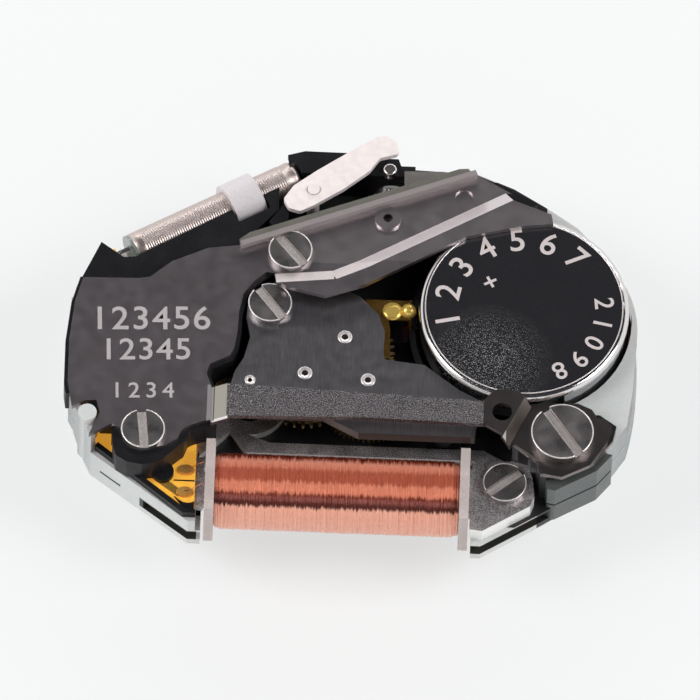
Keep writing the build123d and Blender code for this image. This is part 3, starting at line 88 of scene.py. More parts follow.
# %% [markdown]
# ## Light
# The movement stands on white paper. Polished metal shows what it mirrors, so the world is made with
# care: it is white all round the horizon, with a wide dark patch overhead, which the flat steel mirrors
# towards the camera. A long thin lamp low behind gives the rear edges their shine. Soft lamps at the
# sides light the plastic parts and the wires.

# %% World and lamps
world = bpy.data.worlds.new("studio")
world.use_nodes = True
scene.world = world
sky = world.node_tree
look = sky.nodes.new("ShaderNodeTexCoord").outputs["Generated"]
WHITE = (1.0, 1.0, 1.0, 1)


def patch(direction, from_share, to_share, dark):
    """A round dark patch on the white sky, towards a direction, with a soft edge."""
    nearness = sky.nodes.new("ShaderNodeVectorMath")
    nearness.operation = "DOT_PRODUCT"
    sky.links.new(look, nearness.inputs[0])
    nearness.inputs[1].default_value = direction
    shade = sky.nodes.new("ShaderNodeValToRGB")
    sky.links.new(nearness.outputs["Value"], shade.inputs["Fac"])
    for element, place, colour in zip(shade.color_ramp.elements, (from_share, to_share), (WHITE, dark)):
        element.position = place
        element.color = colour
    return shade.outputs["Color"]


OVERHEAD = (0, -0.06, 0.998)
OVERHEAD_EDGE = (0.54, 0.68)
OVERHEAD_DARK = (0.045, 0.044, 0.050, 1)
overhead = patch(OVERHEAD, *OVERHEAD_EDGE, OVERHEAD_DARK)
sky.links.new(overhead, sky.nodes["Background"].inputs["Color"])


def lamp(name, azimuth, elevation, watts, wide, high):
    """A soft oblong lamp that faces the movement from the given direction."""
    light = bpy.data.lights.new(name, "AREA")
    light.energy = watts
    light.shape = "RECTANGLE"
    light.size = wide
    light.size_y = high
    made = bpy.data.objects.new(name, light)
    scene.collection.objects.link(made)
    flat = math.cos(math.radians(elevation))
    spot = Vector((math.sin(math.radians(azimuth)) * flat, -math.cos(math.radians(azimuth)) * flat,
                   math.sin(math.radians(elevation)))) * LAMP_DISTANCE
    made.matrix_world = Matrix.Translation(spot) @ spot.to_track_quat("Z", "Y").to_matrix().to_4x4()


LAMP_DISTANCE = 0.25
LAMPS = [("low_rear_lamp", 180, 27, 0.10, 0.30, 0.012), ("left_lamp", -84, 44, 0.27, 0.12, 0.12),
         ("right_lamp", 84, 44, 0.27, 0.12, 0.12)]
for setting in LAMPS:
    lamp(*setting)
print("lamps:", [setting[0] for setting in LAMPS])

# %% [markdown]
# ## The paper floor
# A plain white sheet, just below the tip of the hands' arbor. It keeps the soft shadow.

# %% Floor
FLOOR_LEVEL = -2.0 * MM
FLOOR_HALF = 0.6


def mesh_object(name, points, faces):
    """A new object from points and faces in the movement's frame."""
    mesh = bpy.data.meshes.new(name)
    mesh.from_pydata([tuple(p) for p in points], [], faces)
    mesh.validate()
    mesh.update()
    made = bpy.data.objects.new(name, mesh)
    scene.collection.objects.link(made)
    return made


corners = [(x * FLOOR_HALF, y * FLOOR_HALF) for x, y in ((-1, -1), (1, -1), (1, 1), (-1, 1))]
floor = mesh_object("paper_floor", [(x, y, FLOOR_LEVEL) for x, y in corners], [(0, 1, 2, 3)])
print("floor level", FLOOR_LEVEL)

# %% [markdown]
# ## How a finish is made
# Every finish here is one Principled shader. Fine noise, measured in millimetres on the part itself,
# varies its colour and roughness and gives it a little relief, so a surface looks machined, moulded or
# rolled and never flat. Because all objects share one frame, the noise runs on across parts.

# %% Helpers for finishes
def node(finish, kind, inputs=None, **settings):
    """Add a shader node. Inputs may be plain values or sockets to link."""
    made = finish.node_tree.nodes.new("ShaderNode" + kind)
    for key, value in settings.items():
        setattr(made, key, value)
    for key, value in (inputs or {}).items():
        if isinstance(value, bpy.types.NodeSocket):
            finish.node_tree.links.new(value, made.inputs[key])
        else:
            made.inputs[key].default_value = value
    return made


def grain(finish, size, stretch=(1, 1, 1), detail=2.0, turn=0.0):
    """Noise with spots of the given size in millimetres."""
    place = node(finish, "TexCoord").outputs["Object"]
    turned = node(finish, "Mapping", {"Vector": place, "Rotation": (0, 0, turn)}).outputs[0]
    scale = [s / (size * MM) for s in stretch]
    scaled = node(finish, "Mapping", {"Vector": turned, "Scale": scale}).outputs[0]
    return node(finish, "TexNoise", {"Vector": scaled, "Scale": 1.0, "Detail": detail}).outputs[0]


def ramp(finish, factor, low, high, start=0.3, end=0.7):
    """Turn a factor into a colour between low and high."""
    made = node(finish, "ValToRGB", {"Fac": factor})
    for element, place, value in zip(made.color_ramp.elements, (start, end), (low, high)):
        element.position = place
        colour = value if isinstance(value, tuple) else (value, value, value)
        element.color = (*colour, 1)
    return made.outputs["Color"]


def mix(finish, factor, first, second):
    """Mix two colours or colour sockets."""
    inputs = {"Fac": factor, "Color1": first, "Color2": second}
    for key in ("Color1", "Color2"):
        if isinstance(inputs[key], tuple):
            inputs[key] = (*inputs[key], 1)
    return node(finish, "MixRGB", inputs).outputs[0]


def maths(finish, operation, first, second=0.0):
    """One sum on numbers or sockets."""
    return node(finish, "Math", {0: first, 1: second}, operation=operation).outputs[0]


def shader_of(finish):
    """The Principled shader of a finish."""
    return finish.node_tree.nodes["Principled BSDF"]


def link(finish, socket, name):
    """Feed a socket into the shader's input of that name."""
    finish.node_tree.links.new(socket, shader_of(finish).inputs[name])


def part_place(finish):
    """The place on the part, in metres, as sockets X, Y and Z."""
    return node(finish, "SeparateXYZ", {0: node(finish, "TexCoord").outputs["Object"]}).outputs


def facing(finish):
    """The direction that the surface faces, as sockets X, Y and Z."""
    return node(finish, "SeparateXYZ", {0: node(finish, "NewGeometry").outputs["Normal"]}).outputs


def within(finish, value, low, high):
    """One where a value lies between two limits, and nought elsewhere."""
    above = maths(finish, "GREATER_THAN", value, low)
    return maths(finish, "MULTIPLY", above, maths(finish, "LESS_THAN", value, high))


def inside_box(finish, low, high):
    """One inside a box of places given in millimetres, and nought elsewhere."""
    place = part_place(finish)
    mask = 1.0
    for letter, least, most in zip("XYZ", low, high):
        mask = maths(finish, "MULTIPLY", within(finish, place[letter], least * MM, most * MM), mask)
    return mask


def repaint(finish, mask, colour, metal=None):
    """Give a finish another colour, and another share of metal, where the mask is one."""
    values = shader_of(finish).inputs
    link(finish, mix(finish, mask, values["Base Color"].links[0].from_socket, colour), "Base Color")
    if metal is not None:
        links = values["Metallic"].links
        before = links[0].from_socket if links else values["Metallic"].default_value
        kept = maths(finish, "MULTIPLY", before, maths(finish, "SUBTRACT", 1.0, mask))
        link(finish, maths(finish, "ADD", kept, maths(finish, "MULTIPLY", mask, metal)), "Metallic")


def relief(finish, factor, depth, strength=1.0):
    """Raise the surface by a factor, to a depth in millimetres, over the relief it has."""
    inputs = {"Height": factor, "Distance": depth * MM, "Strength": strength}
    before = shader_of(finish).inputs["Normal"].links
    if before:
        inputs["Normal"] = before[0].from_socket
    link(finish, node(finish, "Bump", inputs).outputs[0], "Normal")


BROAD_SPOTS, BROAD_SHARE, SHADE_EDGE = 12, 0.15, (0.35, 0.65)
EDGE_SEGMENTS, EDGE_ANGLE = 2, math.radians(40)


def surface(name, colour, metal, rough, size, shade=0.12, spread=0.06, depth=0.002, stretch=(1, 1, 1),
            turn=0.0, **sockets):
    """A finish with fine grain in its colour and relief and broad spots in its roughness."""
    finish = bpy.data.materials.new(name)
    finish.use_nodes = True
    finish.diffuse_color = (*colour, 1)
    values = shader_of(finish).inputs
    values["Metallic"].default_value = metal
    for key, value in sockets.items():
        values[key.replace("_", " ")].default_value = value
    fine = grain(finish, size, stretch, turn=turn)
    broad = grain(finish, BROAD_SPOTS * size)
    dark = tuple(c * (1 - shade) for c in colour)
    light = tuple(min(1.0, c * (1 + shade)) for c in colour)
    both = mix(finish, BROAD_SHARE, fine, broad)
    link(finish, ramp(finish, both, dark, light, *SHADE_EDGE), "Base Color")
    link(finish, ramp(finish, broad, rough - spread, rough + spread), "Roughness")
    relief(finish, fine, depth)
    return finish


def dress(finish, *names):
    """Give CAD nodes a finish."""
    for name in names:
        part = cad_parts[name]
        if not part.material_slots:
            part.data.materials.append(finish)
        for place in part.material_slots:
            place.material = finish


def soften(width, *names):
    """Round the sharp edges of CAD nodes a little, in millimetres, so that they catch the light."""
    for name in names:
        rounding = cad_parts[name].modifiers.new("edge", "BEVEL")
        rounding.width = width * MM
        rounding.segments = EDGE_SEGMENTS
        rounding.limit_method = "ANGLE"
        rounding.angle_limit = EDGE_ANGLE


# The paper's white comes partly from its own glow where the camera or a shiny part sees it, so that it
# is near white without more light on the movement. The rest is lit, so the soft shadow stays.
PAPER = (0.90, 0.91, 0.91)
PAPER_GLOW = 0.64
PAPER_LIT = 0.40
paper = surface("paper_white", PAPER, 0, 0.9, 0.6, shade=0.01, depth=0.001)
path = node(paper, "LightPath").outputs
seen = maths(paper, "MAXIMUM", path["Is Camera Ray"], maths(paper, "MAXIMUM", path["Is Glossy Ray"],
                                                            path["Is Transmission Ray"]))
lit = shader_of(paper).inputs["Base Color"].links[0].from_socket
link(paper, mix(paper, seen, lit, tuple(PAPER_LIT * c for c in PAPER)), "Base Color")
link(paper, maths(paper, "MULTIPLY", seen, PAPER_GLOW), "Emission Strength")
shader_of(paper).inputs["Emission Color"].default_value = (*PAPER, 1)
shader_of(paper).inputs["Specular IOR Level"].default_value = 0.0
floor.data.materials.append(paper)

# %% [markdown]
# ## Steel sheet
# The cover plate is rolled steel, dark and warm, with a fine matt grain. Its strap in front is the same
# sheet but coarser, and sparkles. Its steps, ramps and edges carry a painted highlight, and the left step,
# the right bend and the arm carry painted reflections and painted shade. All this is one CAD node, so one
# finish holds it all: masks made from the place on the part and from the way that it faces choose the look of
# each area.

# %% Cover steel
# Areas of the cover, each as the two corners of a box, in millimetres.
STRAP_AREA = ((-3.75, -9, 0), (4.55, -1.9, 9))
CLAMP_AREA = ((4.55, -9, 0), (9, -1.9, 9))
RIGHT_BEND_AREA = ((5.3, -9, 0), (7, -1.9, 9))
STEP_AREA = ((-4.14, -3.4, 0), (-3.68, -2.1, 9))
STEP_EDGE_HIGHLIGHT_AREA = ((-4.36, -3.45, 2.7), (-4.16, -2.1, 9))
STEP_SHADE_AREA = ((-4.16, -3.45, 2.5), (-4.12, -2.1, 9))
ARM_SHEEN_AREA = ((-2.2, 2.6, 0), (9, 9, 9))
ARM_REAR = (-0.3698, 0.929)
EDGE_OUT, EDGE_LEVEL = 4.02, 2.80
HIGHLIGHT_TILT = (0.30, 0.97)
STEP_REFLECTION_OLIVE = (0.36, 0.335, 0.29)
cover_steel = surface("cover_steel", (0.50, 0.455, 0.47), 1.0, 0.30, 0.03, shade=0.05, spread=0.02,
                      depth=0.0008)
on_strap = inside_box(cover_steel, *STRAP_AREA)
speck = grain(cover_steel, 0.035, detail=1.0)
specks = ramp(cover_steel, speck, (0.10, 0.092, 0.096), (0.80, 0.75, 0.77), 0.38, 0.72)
repaint(cover_steel, on_strap, specks)
relief(cover_steel, maths(cover_steel, "MULTIPLY", speck, on_strap), 0.012)
repaint(cover_steel, inside_box(cover_steel, *CLAMP_AREA), (0.22, 0.195, 0.19))
# Faces that slant get a pale colour: a painted highlight on the bends and edges.
tilted_highlight = within(cover_steel, facing(cover_steel)["Z"], *HIGHLIGHT_TILT)
repaint(cover_steel, tilted_highlight, (0.80, 0.735, 0.73), 0.5)
# On the right bend those slanting faces get a dark brown instead: painted shade.
right_bend_painted_shade = maths(cover_steel, "MULTIPLY", tilted_highlight, inside_box(cover_steel, *RIGHT_BEND_AREA))
repaint(cover_steel, right_bend_painted_shade, (0.20, 0.175, 0.155), 0.8)
# On the left step the ramp gets an olive painted reflection, the edge strip beside it a pale painted
# highlight, and a thin line between them dark painted shade.
step_ramp_painted_reflection = maths(cover_steel, "MULTIPLY", tilted_highlight, inside_box(cover_steel, *STEP_AREA))
repaint(cover_steel, step_ramp_painted_reflection, STEP_REFLECTION_OLIVE, 0.3)
repaint(cover_steel, inside_box(cover_steel, *STEP_EDGE_HIGHLIGHT_AREA), (0.36, 0.33, 0.33), 0.3)
repaint(cover_steel, inside_box(cover_steel, *STEP_SHADE_AREA), (0.07, 0.07, 0.055), 0.3)
# The arm gets a paler colour, a painted sheen, and the top of its upturned rear edge a darker pinkish grey, a
# painted reflection.
repaint(cover_steel, inside_box(cover_steel, *ARM_SHEEN_AREA), (0.66, 0.60, 0.61))
place = part_place(cover_steel)
out = maths(cover_steel, "ADD", maths(cover_steel, "MULTIPLY", place["X"], ARM_REAR[0]),
            maths(cover_steel, "MULTIPLY", place["Y"], ARM_REAR[1]))
edge_top_painted_reflection = maths(cover_steel, "MULTIPLY", maths(cover_steel, "GREATER_THAN", out, EDGE_OUT * MM),
                 maths(cover_steel, "GREATER_THAN", place["Z"], EDGE_LEVEL * MM))
repaint(cover_steel, edge_top_painted_reflection, (0.36, 0.315, 0.315), 0.25)
dress(cover_steel, "cover_plate")
soften(0.025, "cover_plate")
print("cover steel nodes:", len(cover_steel.node_tree.nodes))

# %% [markdown]
# ## Brushed and turned steel
# The train bridge is brushed along one way, so its noise is stretched. The clamp plate and the motion
# cover are the same sheet. Screw heads are turned: fine rings run round each one's own axis.

# %% Bridge and screws
bridge_steel = surface("bridge_steel", (0.46, 0.445, 0.46), 1.0, 0.30, 0.03, shade=0.12, spread=0.02,
                       depth=0.0012, stretch=(1, 0.06, 1))
UPRIGHT = (-0.3, 0.30)
# Upright sides get a dark brown: painted shade.
bridge_side_painted_shade = within(bridge_steel, facing(bridge_steel)["Z"], *UPRIGHT)
repaint(bridge_steel, bridge_side_painted_shade, (0.16, 0.12, 0.105), 0.7)
dress(bridge_steel, "train_bridge", "bridge_bushes")
sheet_steel = surface("sheet_steel", (0.24, 0.21, 0.20), 1.0, 0.26, 0.05, shade=0.12)
dress(sheet_steel, "clamp_plate", "motion_cover")
soften(0.025, "train_bridge", "clamp_plate")


def turned_steel(name, colour, rough, places):
    """Steel with fine turning rings about each of the places, in millimetres."""
    finish = surface(name, colour, 1.0, rough, 0.05, shade=0.08, depth=0.0006)
    flat = node(finish, "VectorMath", {0: node(finish, "TexCoord").outputs["Object"], 1: (1, 1, 0)},
                operation="MULTIPLY").outputs[0]
    nearest = None
    for x, y in places:
        inputs = {0: flat, 1: (x * MM, y * MM, 0)}
        away = node(finish, "VectorMath", inputs, operation="DISTANCE").outputs["Value"]
        nearest = away if nearest is None else maths(finish, "MINIMUM", nearest, away)
    rings = maths(finish, "SINE", maths(finish, "MULTIPLY", nearest, 2 * math.pi / (RING_PITCH * MM)))
    relief(finish, rings, RING_DEPTH)
    return finish


def middle(name):
    """The middle of a CAD node's box in plan, in millimetres."""
    low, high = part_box(name)
    return (low.x + high.x) / 2 / MM, (low.y + high.y) / 2 / MM


RING_PITCH, RING_DEPTH = 0.05, 0.0002
LEFT_SCREW = (-6.385, -3.944)
REAR_SCREW = (-1.868, 2.924)
SCREWS = ("bridge_screw", "coil_screw", "clamp_screw", "cover_screws")
screw_places = [middle(name) for name in SCREWS[:3]] + [LEFT_SCREW, REAR_SCREW]
screw_steel = turned_steel("screw_steel", (0.50, 0.465, 0.455), 0.30, screw_places)
dress(screw_steel, "motion_cover_screws", *SCREWS)
soften(0.04, *SCREWS)
print("screws:", len(screw_places))

# %% [markdown]
# ## Bright steel, soft iron and brass
# Pins, levers and arbors are polished. The coil's core and the stator are soft iron sheet, annealed to
# a speckled satin; their cut sides carry a painted highlight. The wheels are brass.

# %% Small metal parts
bright_steel = surface("bright_steel", (0.70, 0.64, 0.62), 1.0, 0.24, 0.08, shade=0.05)
dress(bright_steel, "motion_posts", "bridge_pin", "yoke_post", "release_button",
      "rotor_pinion", "fifth_pinion", "seconds_arbor", "third_pinion", "cannon_pinion", "minute_pinion",
      "yoke", "clutch_wheel")
spring_steel = surface("spring_steel", (0.30, 0.28, 0.26), 0.8, 0.45, 0.08, shade=0.06)
dress(spring_steel, "setting_spring")
lever_steel = surface("lever_steel", (0.96, 0.87, 0.85), 0.05, 0.34, 0.25, shade=0.05, depth=0.001)
dress(lever_steel, "setting_lever", "lever_pin")
soften(0.05, "setting_lever")
soft_iron = surface("soft_iron", (0.60, 0.565, 0.57), 0.85, 0.36, 0.035, shade=0.60, depth=0.008)
CUT_SIDE_HIGHLIGHT = (-0.2, 0.97)
# The cut sides get a near-white colour: a painted highlight.
cut_side_painted_highlight = within(soft_iron, facing(soft_iron)["Z"], *CUT_SIDE_HIGHLIGHT)
repaint(soft_iron, cut_side_painted_highlight, (0.95, 0.95, 0.93), 0.4)
dress(soft_iron, "coil_core", "stator")
soften(0.03, "coil_core")
brass = surface("wheel_brass", (0.76, 0.58, 0.28), 1.0, 0.28, 0.05, shade=0.10)
dress(brass, "plate_bushes", "hour_wheel", "centre_wheel", "minute_wheel", "setting_wheel",
      "fourth_wheel", "third_wheel", "fifth_wheel")
gilt = surface("contact_gilt", (0.15, 0.08, 0.014), 0.35, 0.28, 0.10, shade=0.30)
dress(gilt, "negative_contact")
magnet = surface("rotor_magnet", (0.16, 0.16, 0.17), 0.8, 0.45, 0.05, shade=0.2)
dress(magnet, "rotor_magnet")

# %% [markdown]
# ## Mouldings and films
# The main plate is pale moulded plastic. Inside, under the train, it is dark. The grooves along its front
# edges and the plate below the coil core's tab carry painted shade. Its end walls, which are seen nearly
# edge on, carry a painted grey shade. The spacer and the keyless housing are black. The coil's bobbin is a
# clear plastic gone milky. The circuit is a glossy amber film with copper tracks. Its faint glow is painted
# light, standing in for light from the white paper under it.

# %% Plastic parts
# Areas of the plate, each as the two corners of a box in millimetres, with the colour painted there: dark
# inside under the train, and painted shade in the grooves and below the coil core's tab.
DARK_INSIDE_AND_TAB_SHADOW = (0.012, 0.012, 0.014)
GROOVE_PAINTED_SHADE = (0.030, 0.031, 0.026)
PLATE_AREAS = [((-4.6, -5.9, 0.84), (6.4, 6.95, 9), DARK_INSIDE_AND_TAB_SHADOW),
               ((-6.42, -9, 0.28), (-4.55, -5.0, 0.80), GROOVE_PAINTED_SHADE),
               ((4.0, -9, 0.28), (6.75, -4.7, 0.80), GROOVE_PAINTED_SHADE),
               ((6.40, -5.6, 0.05), (6.95, -3.3, 2.40), DARK_INSIDE_AND_TAB_SHADOW)]
GRAZED_SIDE, GRAZED_PLACE, GRAZED_REACH = (0.45, 0.98), (0.70, 0.90), 10
GRAZED_SHADE_GREY = (0.20, 0.22, 0.23)
plate_plastic = surface("plate_plastic", (0.64, 0.66, 0.65), 0, 0.40, 0.10, shade=0.03, depth=0.002,
                        Subsurface_Weight=0.15, Subsurface_Scale=0.0004)
for low, high, colour in PLATE_AREAS:
    repaint(plate_plastic, inside_box(plate_plastic, low, high), colour)
# End walls seen nearly edge on get a grey: painted shade.
side = maths(plate_plastic, "ABSOLUTE", facing(plate_plastic)["X"])
outer = maths(plate_plastic, "ABSOLUTE", part_place(plate_plastic)["X"])
reach = maths(plate_plastic, "DIVIDE", outer, GRAZED_REACH * MM)
grazed_painted_shade = maths(plate_plastic, "MULTIPLY", ramp(plate_plastic, side, 0.0, 1.0, *GRAZED_SIDE),
               ramp(plate_plastic, reach, 0.0, 1.0, *GRAZED_PLACE))
repaint(plate_plastic, grazed_painted_shade, GRAZED_SHADE_GREY)
dress(plate_plastic, "main_plate")
soften(0.05, "main_plate")
black_plastic = surface("black_plastic", (0.010, 0.010, 0.012), 0, 0.42, 0.08, shade=0.25, depth=0.003,
                        Specular_IOR_Level=0.25)
dress(black_plastic, "circuit_spacer", "keyless_housing")
soften(0.03, "circuit_spacer", "keyless_housing")
clear_plastic = surface("clear_plastic", (0.80, 0.70, 0.67), 0, 0.26, 0.10, shade=0.03, IOR=1.45,
                        Transmission_Weight=0.40)
dress(clear_plastic, "coil_bobbin")
soften(0.04, "coil_bobbin")
clip_plastic = surface("clip_plastic", (0.80, 0.75, 0.77), 0, 0.38, 0.10, shade=0.04,
                       Transmission_Weight=0.12)
dress(clip_plastic, "crystal_clip")
# The film's emission is a painted glow, standing in for light from the paper under it.
amber_film = surface("amber_film", (1.0, 0.55, 0.07), 0, 0.26, 0.12, shade=0.14, depth=0.003,
                     Coat_Weight=0.3, Coat_Roughness=0.15, Emission_Color=(1.0, 0.45, 0.05, 1),
                     Emission_Strength=0.50)
dress(amber_film, "circuit_board")
track_copper = surface("track_copper", (0.60, 0.36, 0.08), 0.6, 0.35, 0.05, shade=0.18)
dress(track_copper, "circuit_tracks")
chip_resin = surface("chip_resin", (0.03, 0.03, 0.033), 0, 0.5, 0.05, shade=0.3, depth=0.004)
dress(chip_resin, "ic_chip")
contact_dark = surface("contact_dark", (0.110, 0.120, 0.118), 0.3, 0.34, 0.06, shade=0.14, depth=0.003)
dress(contact_dark, "contact_block")
soften(0.03, "contact_block")
pad_amber = surface("pad_amber", (0.88, 0.47, 0.12), 0.4, 0.30, 0.08, shade=0.1, depth=0.003)
dress(pad_amber, "coil_terminals")
solder = surface("solder", (0.62, 0.62, 0.61), 1.0, 0.28, 0.08, shade=0.1, depth=0.008)
dress(solder, "crystal_leads")
gasket = surface("cell_gasket", (0.70, 0.70, 0.66), 0, 0.6, 0.1)
dress(gasket, "cell_gasket")
insulator = surface("cell_insulator", (0.62, 0.52, 0.28), 0, 0.35, 0.1, Transmission_Weight=0.2)
dress(insulator, "cell_insulator")
cell_mass = surface("cell_mass", (0.12, 0.12, 0.12), 0.3, 0.7, 0.05, shade=0.3)
dress(cell_mass, "cell_filling")
seal_glass = surface("seal_glass", (0.20, 0.24, 0.22), 0, 0.12, 0.1, Coat_Weight=0.6)
dress(seal_glass, "crystal_base")
quartz = surface("quartz", (0.92, 0.93, 0.95), 0, 0.05, 0.2, shade=0.01, Transmission_Weight=0.9)
dress(quartz, "quartz_fork")
bare = [name for name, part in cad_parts.items() if part.type == "MESH" and not part.material_slots]
print("CAD nodes that wait for a finish:", bare)

# %% [markdown]
# ## The cell
# The cell's steel is polished to a mirror, with faint scratches, and near its front left edge a dust of
# tiny specks. It looks black from above because it mirrors the dark patch of the sky.

# %% Cell steel
CELL_PLACE = (5.741, 1.149)
CELL_TOP = 2.85
DUST_PLACE, DUST_REACH = (4.6, -0.9), 2.2
cell_steel = surface("cell_steel", (0.46, 0.46, 0.47), 1.0, 0.11, 0.12, shade=0.04, spread=0.02,
                     depth=0.0002)
scratches = grain(cell_steel, 0.05, (1, 0.05, 1), turn=0.6)
relief(cell_steel, ramp(cell_steel, scratches, 0.0, 1.0, 0.62, 0.74), 0.0006, 0.5)
place = node(cell_steel, "TexCoord").outputs["Object"]
dust_centre = [value * MM for value in (*DUST_PLACE, CELL_TOP)]
from_dusty = node(cell_steel, "VectorMath", {0: place, 1: dust_centre}, operation="DISTANCE").outputs["Value"]
dusty = ramp(cell_steel, maths(cell_steel, "DIVIDE", from_dusty, DUST_REACH * MM), 1.0, 0.0, 0.2, 1.0)
dust = ramp(cell_steel, grain(cell_steel, 0.028, detail=0.0), 0.0, 1.0, 0.66, 0.70)
repaint(cell_steel, maths(cell_steel, "MULTIPLY", dust, dusty), (0.50, 0.48, 0.47), 0.0)
# Slanting faces of the rolled rim get a paler colour: a painted highlight.
ROLLED_EDGE_HIGHLIGHT = (0.2, 0.97)
repaint(cell_steel, within(cell_steel, facing(cell_steel)["Z"], *ROLLED_EDGE_HIGHLIGHT), (0.72, 0.70, 0.69))
dress(cell_steel, "cell_can", "cell_cap")
print("cell finish:", cell_steel.name)

# %% [markdown]
# ## New pieces
# A piece is mostly a skin over rings of points: a turned form, a slab or a winding. It rides on the body
# that carries it.

# %% Helpers for pieces
def skin(rings, capped=True):
    """Points and faces that join rings of equal counts. The two ends are closed if capped is true."""
    count = len(rings[0])
    points = [p for ring in rings for p in ring]
    faces = []
    for start in range(0, len(points) - count, count):
        for i in range(count):
            j = (i + 1) % count
            faces.append((start + i, start + j, start + count + j, start + count + i))
    if capped:
        faces.append(tuple(reversed(range(count))))
        faces.append(tuple(range(len(points) - count, len(points))))
    return points, faces


def piece(name, points, faces, finish, slot, body="frame", smooth=True):
    """A finished piece that rides on a body."""
    made = mesh_object(name, [Vector(p) * MM for p in points], faces)
    made.data.materials.append(finish)
    if smooth:
        made.data.shade_smooth()
    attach(made, body)
    return made


def circle(centre, radius, count=48):
    """A ring of points about a vertical axis. The centre has its height too."""
    x, y, z = centre
    angles = [2 * math.pi * i / count for i in range(count)]
    return [(x + radius * math.cos(a), y + radius * math.sin(a), z) for a in angles]


def turned(place, profile, count=48):
    """Rings for a turned form about a vertical axis, from pairs of radius and height."""
    return [circle((place[0], place[1], z), max(radius, 0.001), count) for radius, z in profile]


def gather(forms):
    """Join the points and faces of several forms."""
    points, faces = [], []
    for form_points, form_faces in forms:
        faces += [tuple(len(points) + i for i in face) for face in form_faces]
        points += form_points
    return points, faces


def slab(outline, low, high):
    """A flat form with the given outline, between two heights."""
    return skin([[(x, y, low) for x, y in outline], [(x, y, high) for x, y in outline]])

# %% [markdown]
# ## The coil
# The coil is some thousands of turns of lacquered copper wire, thinner than a hair. It could be one
# smooth barrel with a striped finish, but then no light would catch on the wires. Here the skin has a
# ridge for each of 215 turns, and every ridge differs a little, so the gloss breaks up into streaks. The
# flats swell slightly, as wound wire does.

# %% Coil wire
COIL_LEFT, COIL_RIGHT = -4.018, 3.876
COIL_MIDDLE = (-5.20, 1.30)
COIL_WIDE, COIL_HIGH, COIL_ROUND = 2.32, 1.92, 0.65
COIL_TURNS = 215
AROUND = 80
RIDGE = [(0.0, 0.022), (0.2, 0.007), (0.5, 0.0), (0.8, 0.007)]
BULGE = 0.05
SINK, LEAN, RIPPLE = 0.016, 0.5, 0.006
SHOULDER_DEEP, SHOULDER_LONG = 0.10, 0.35


def oblong(wide, high, rounding, count):
    """Points round a rounded rectangle, each with the direction it faces."""
    straight = [wide - 2 * rounding, high - 2 * rounding]
    lengths = [straight[0], math.pi / 2 * rounding, straight[1], math.pi / 2 * rounding] * 2
    total = sum(lengths)
    found = []
    for i in range(count):
        walked = total * i / count
        side = 0
        while walked > lengths[side]:
            walked -= lengths[side]
            side += 1
        quarter, corner = divmod(side, 2)
        turn = math.pi / 2 * quarter
        share = walked / lengths[side]
        half = (straight[0] / 2, straight[1] / 2) if quarter % 2 == 0 else (straight[1] / 2, straight[0] / 2)
        if corner == 0:
            local = (-half[0] + 2 * half[0] * share, -half[1] - rounding)
            facing = (0.0, -1.0)
        else:
            angle = -math.pi / 2 + math.pi / 2 * share
            facing = (math.cos(angle), math.sin(angle))
            local = (half[0] + rounding * facing[0], -half[1] + rounding * facing[1])
        c, s = math.cos(turn), math.sin(turn)
        place = (local[0] * c - local[1] * s, local[0] * s + local[1] * c)
        found.append((place, (facing[0] * c - facing[1] * s, facing[0] * s + facing[1] * c)))
    return found


random.seed(7)
section = oblong(COIL_WIDE, COIL_HIGH, COIL_ROUND, AROUND)
pitch = (COIL_RIGHT - COIL_LEFT) / COIL_TURNS
rings = []
for number in range(COIL_TURNS):
    sunk = random.uniform(0.0, SINK)
    lean = random.uniform(-LEAN, LEAN) * pitch
    wave = random.uniform(0, 2 * math.pi)
    for share, deep in RIDGE:
        x = COIL_LEFT + (number + share) * pitch
        edge = min(x - COIL_LEFT, COIL_RIGHT - x)
        shoulder = SHOULDER_DEEP * max(0.0, 1 - edge / SHOULDER_LONG) ** 2
        ring = []
        for i, ((y, z), (facing_y, facing_z)) in enumerate(section):
            angle = 2 * math.pi * i / AROUND
            inward = sunk + deep + shoulder + RIPPLE * (1 + math.sin(2 * angle + wave))
            slant = lean * math.sin(angle) * (0 < number < COIL_TURNS - 1)
            off_flat = (abs(y * facing_z) + abs(z * facing_y)) / (COIL_WIDE / 2 - COIL_ROUND)
            inward += BULGE * min(1.0, off_flat) ** 2 - BULGE
            ring.append((x + slant, COIL_MIDDLE[0] + y - inward * facing_y,
                         COIL_MIDDLE[1] + z - inward * facing_z))
        rings.append(ring)
print("coil rings:", len(rings))

# %% [markdown]
# Copper under red lacquer is not one colour. Streaks that run round the coil go from dark red to
# salmon, so the noise is squeezed along the coil and stretched round it. Ragged bands run along it:
# painted reflections, with a painted highlight near the top, painted shade over the front shoulder and
# a pale painted reflection of the paper below that.

# %% Copper finish
# Each band is a painted reflection: a share of the way down the coil as seen from the front and above, with
# its colour.
REFLECTION_BANDS = [(0.00, (0.12, 0.010, 0.004)), (0.04, (0.30, 0.040, 0.018)), (0.08, (0.90, 0.37, 0.25)),
         (0.16, (0.80, 0.25, 0.15)), (0.20, (0.50, 0.10, 0.050)), (0.33, (0.52, 0.11, 0.055)),
         (0.37, (0.86, 0.30, 0.18)), (0.48, (0.84, 0.27, 0.16)), (0.52, (0.19, 0.014, 0.004)),
         (0.66, (0.055, 0.002, 0.001)), (0.695, (0.90, 0.44, 0.32)), (1.00, (0.92, 0.47, 0.35))]
REFLECTION_REAR, REFLECTION_DOWN, REFLECTION_SPAN = -0.866, -0.5, 2.49
RAG_SIZE, RAG_STRETCH, RAG_DETAIL, RAG_SHARE = 0.06, (1, 0.05, 0.05), 4.0, 0.16
REFLECTIONS_OVER_STREAKS = 0.96
copper = surface("coil_copper", (0.90, 0.31, 0.18), 0.30, 0.26, 0.045, shade=0.22, depth=0.004,
                 stretch=(1, 0.06, 0.06))
place = part_place(copper)
